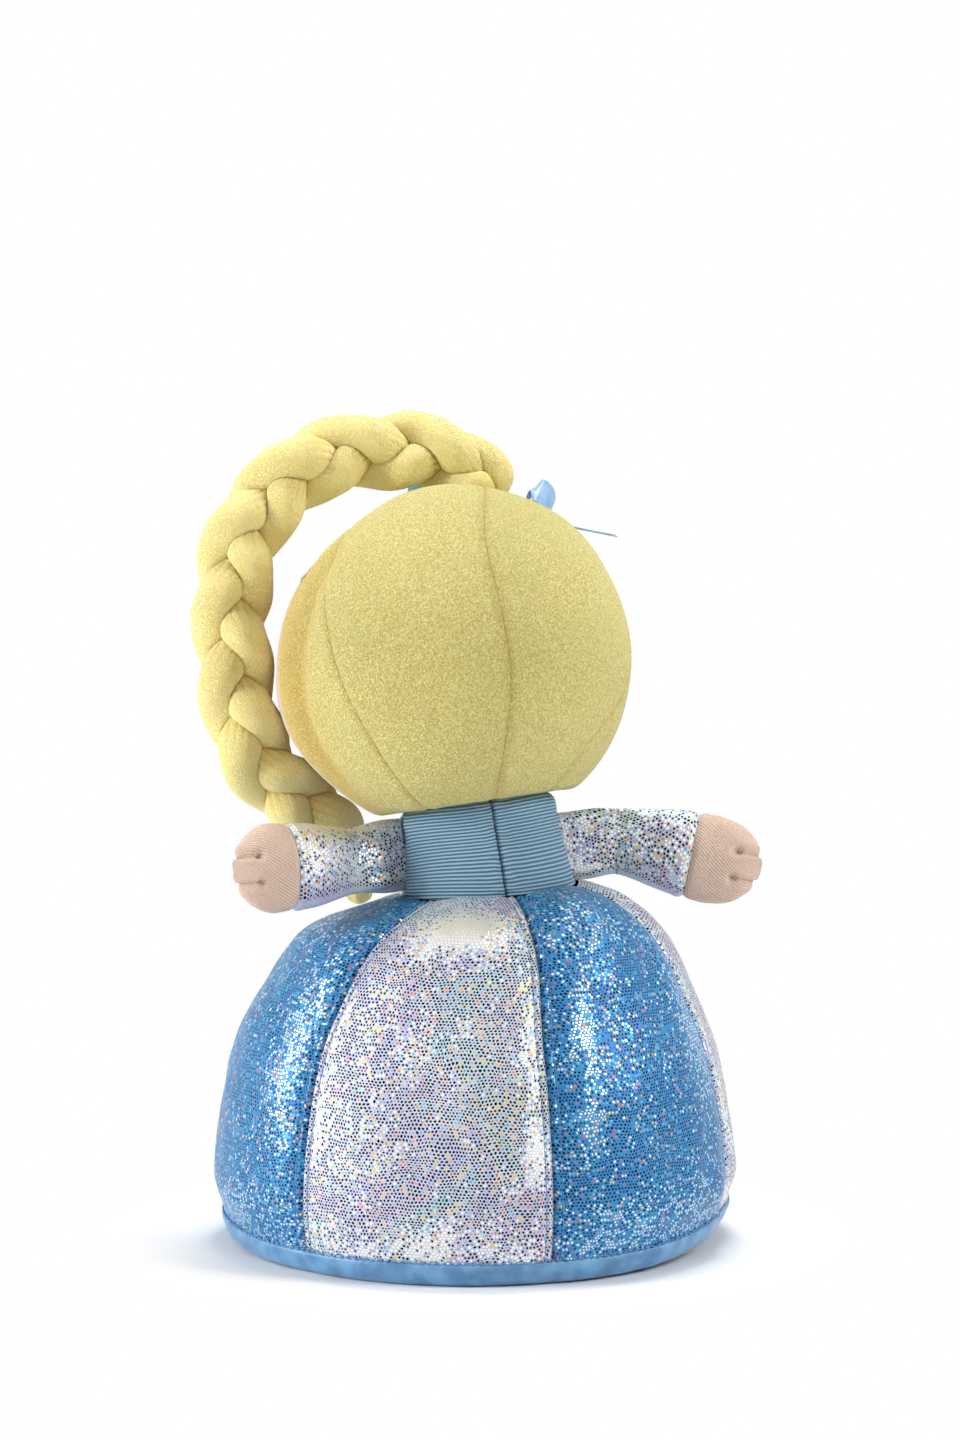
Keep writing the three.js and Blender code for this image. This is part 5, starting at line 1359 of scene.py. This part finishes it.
knot_half = PINCH_WIDTH / 2 + 1.3
knot_lift = (PINCH_LIFT + RIBBON / 2 - tail_lift + RIBBON / 2) / 2 + 1.2
knot_middle = (PINCH_LIFT + tail_lift) / 2
knot_rings = []
for x in np.linspace(-KNOT_WIDTH / 2, KNOT_WIDTH / 2, 22):
    angle = np.arange(0, 360, 7.5) * DEG
    edge = 1 - 0.16 * abs(2 * x / KNOT_WIDTH) ** 4
    pleat = 0.14 * math.cos(x * 5.2)
    wide, high = knot_half * 1.08 * edge + pleat, knot_lift * 1.1 * edge + pleat
    y = wide * np.sign(np.cos(angle)) * np.abs(np.cos(angle)) ** 0.75
    z = knot_middle + high * np.sign(np.sin(angle)) * np.abs(np.sin(angle)) ** 0.75
    knot_rings.append(stacked(np.full(len(angle), x), y, z))
knot = tube("bow_knot_ribbon", [moved(np.asarray(r), bow_matrix) for r in knot_rings], bow_satin)
finish_piece(knot, "head", "satin", "bow_knot")

# Camera, at the photograph's view

AZIMUTH, ELEVATION, DISTANCE = 165 * DEG, 8.62 * DEG, 3.0
SENSOR_WIDTH, LENS, TARGET_UP, TARGET_RIGHT = 36, 320.2, 0.1808, 0.0015
camera_way = Vector((math.sin(AZIMUTH) * math.cos(ELEVATION), -math.cos(AZIMUTH) * math.cos(ELEVATION),
                     math.sin(ELEVATION)))
right_way = Vector((math.cos(AZIMUTH), math.sin(AZIMUTH), 0))
up_way = camera_way.cross(right_way)
target = up_way * TARGET_UP + right_way * TARGET_RIGHT
camera_data = bpy.data.cameras.new("camera")
camera_data.sensor_fit = "HORIZONTAL"
camera_data.sensor_width = SENSOR_WIDTH
camera_data.lens = LENS
camera = linked("camera", camera_data)
camera.location = target + camera_way * DISTANCE
camera.rotation_euler = camera_way.to_track_quat("Z", "Y").to_euler()
bpy.context.scene.camera = camera

# Floor, world and lamps

FLOOR_FADE = (92.0, 135.0)  # where it fades to the photograph's white, from the middle
floor_cloth = Cloth("floor", roughness=0.9, Specular_IOR_Level=0.1)
floor_tone = floor_cloth.noise(floor_cloth.object_mm(), 0.004, 2.0)
floor_cloth.set(Base_Color=floor_cloth.mix(floor_tone, (0.9, 0.9, 0.9, 1), (0.93, 0.93, 0.93, 1)))
from_middle = floor_cloth.vector("LENGTH", floor_cloth.object_mm())
paper = floor_cloth.node("Emission", {"Color": (1, 1, 1, 1), "Strength": 1.0})
fade = floor_cloth.times(floor_cloth.seen(), floor_cloth.spread(from_middle, *FLOOR_FADE))
shaders = floor_cloth.node("MixShader", {0: fade, 1: floor_cloth.shader.outputs[0], 2: paper.outputs[0]})
surface = next(n for n in floor_cloth.tree.nodes if n.type == "OUTPUT_MATERIAL").inputs["Surface"]
floor_cloth.put(surface, shaders.outputs[0])
turn = np.arange(0, 360, 5.0)
rings = [direction(turn) * (r, r, 0) - (0, 0, 0.05) for r in (5, 100, 300, 900)]
floor_grid = np.swapaxes(np.asarray(rings), 0, 1)[::-1]
floor = sheet_mesh("floor", floor_grid, tube_uv(floor_grid), floor_cloth.material, closed=True,
                   capped=(True, False))

world = bpy.data.worlds.new("studio")
bpy.context.scene.world = world
sky = Nodes(world)
background = sky.tree.nodes["Background"]
background.inputs["Color"].default_value = (1, 1, 1, 1)
sky.put(background.inputs["Strength"], sky.spread(sky.seen(), 0.0, 1.0, 0.35, 1.0))


def softbox(name, toward_camera, right, up, width, height, power):
    """A lamp placed from the doll's middle: metres towards the camera, to the picture's right and up."""
    data = bpy.data.lights.new(name, "AREA")
    data.shape, data.size, data.size_y, data.energy = "RECTANGLE", width, height, power
    lamp = linked(name, data)
    level = Vector((camera_way.x, camera_way.y, 0)).normalized()
    middle = Vector((0, 0, 0.14))
    lamp.location = middle + level * toward_camera + right_way * right + Vector((0, 0, up))
    lamp.rotation_euler = (lamp.location - middle).to_track_quat("Z", "Y").to_euler()


softbox("overhead", -0.3, 0.1, 1.3, 0.5, 0.5, 13)
softbox("right_box", 0.5, 1.2, 0.75, 0.35, 0.6, 11.5)
softbox("left_box", 0.35, -1.3, 0.35, 0.35, 0.8, 16)

bpy.context.scene.view_settings.view_transform = "Standard"
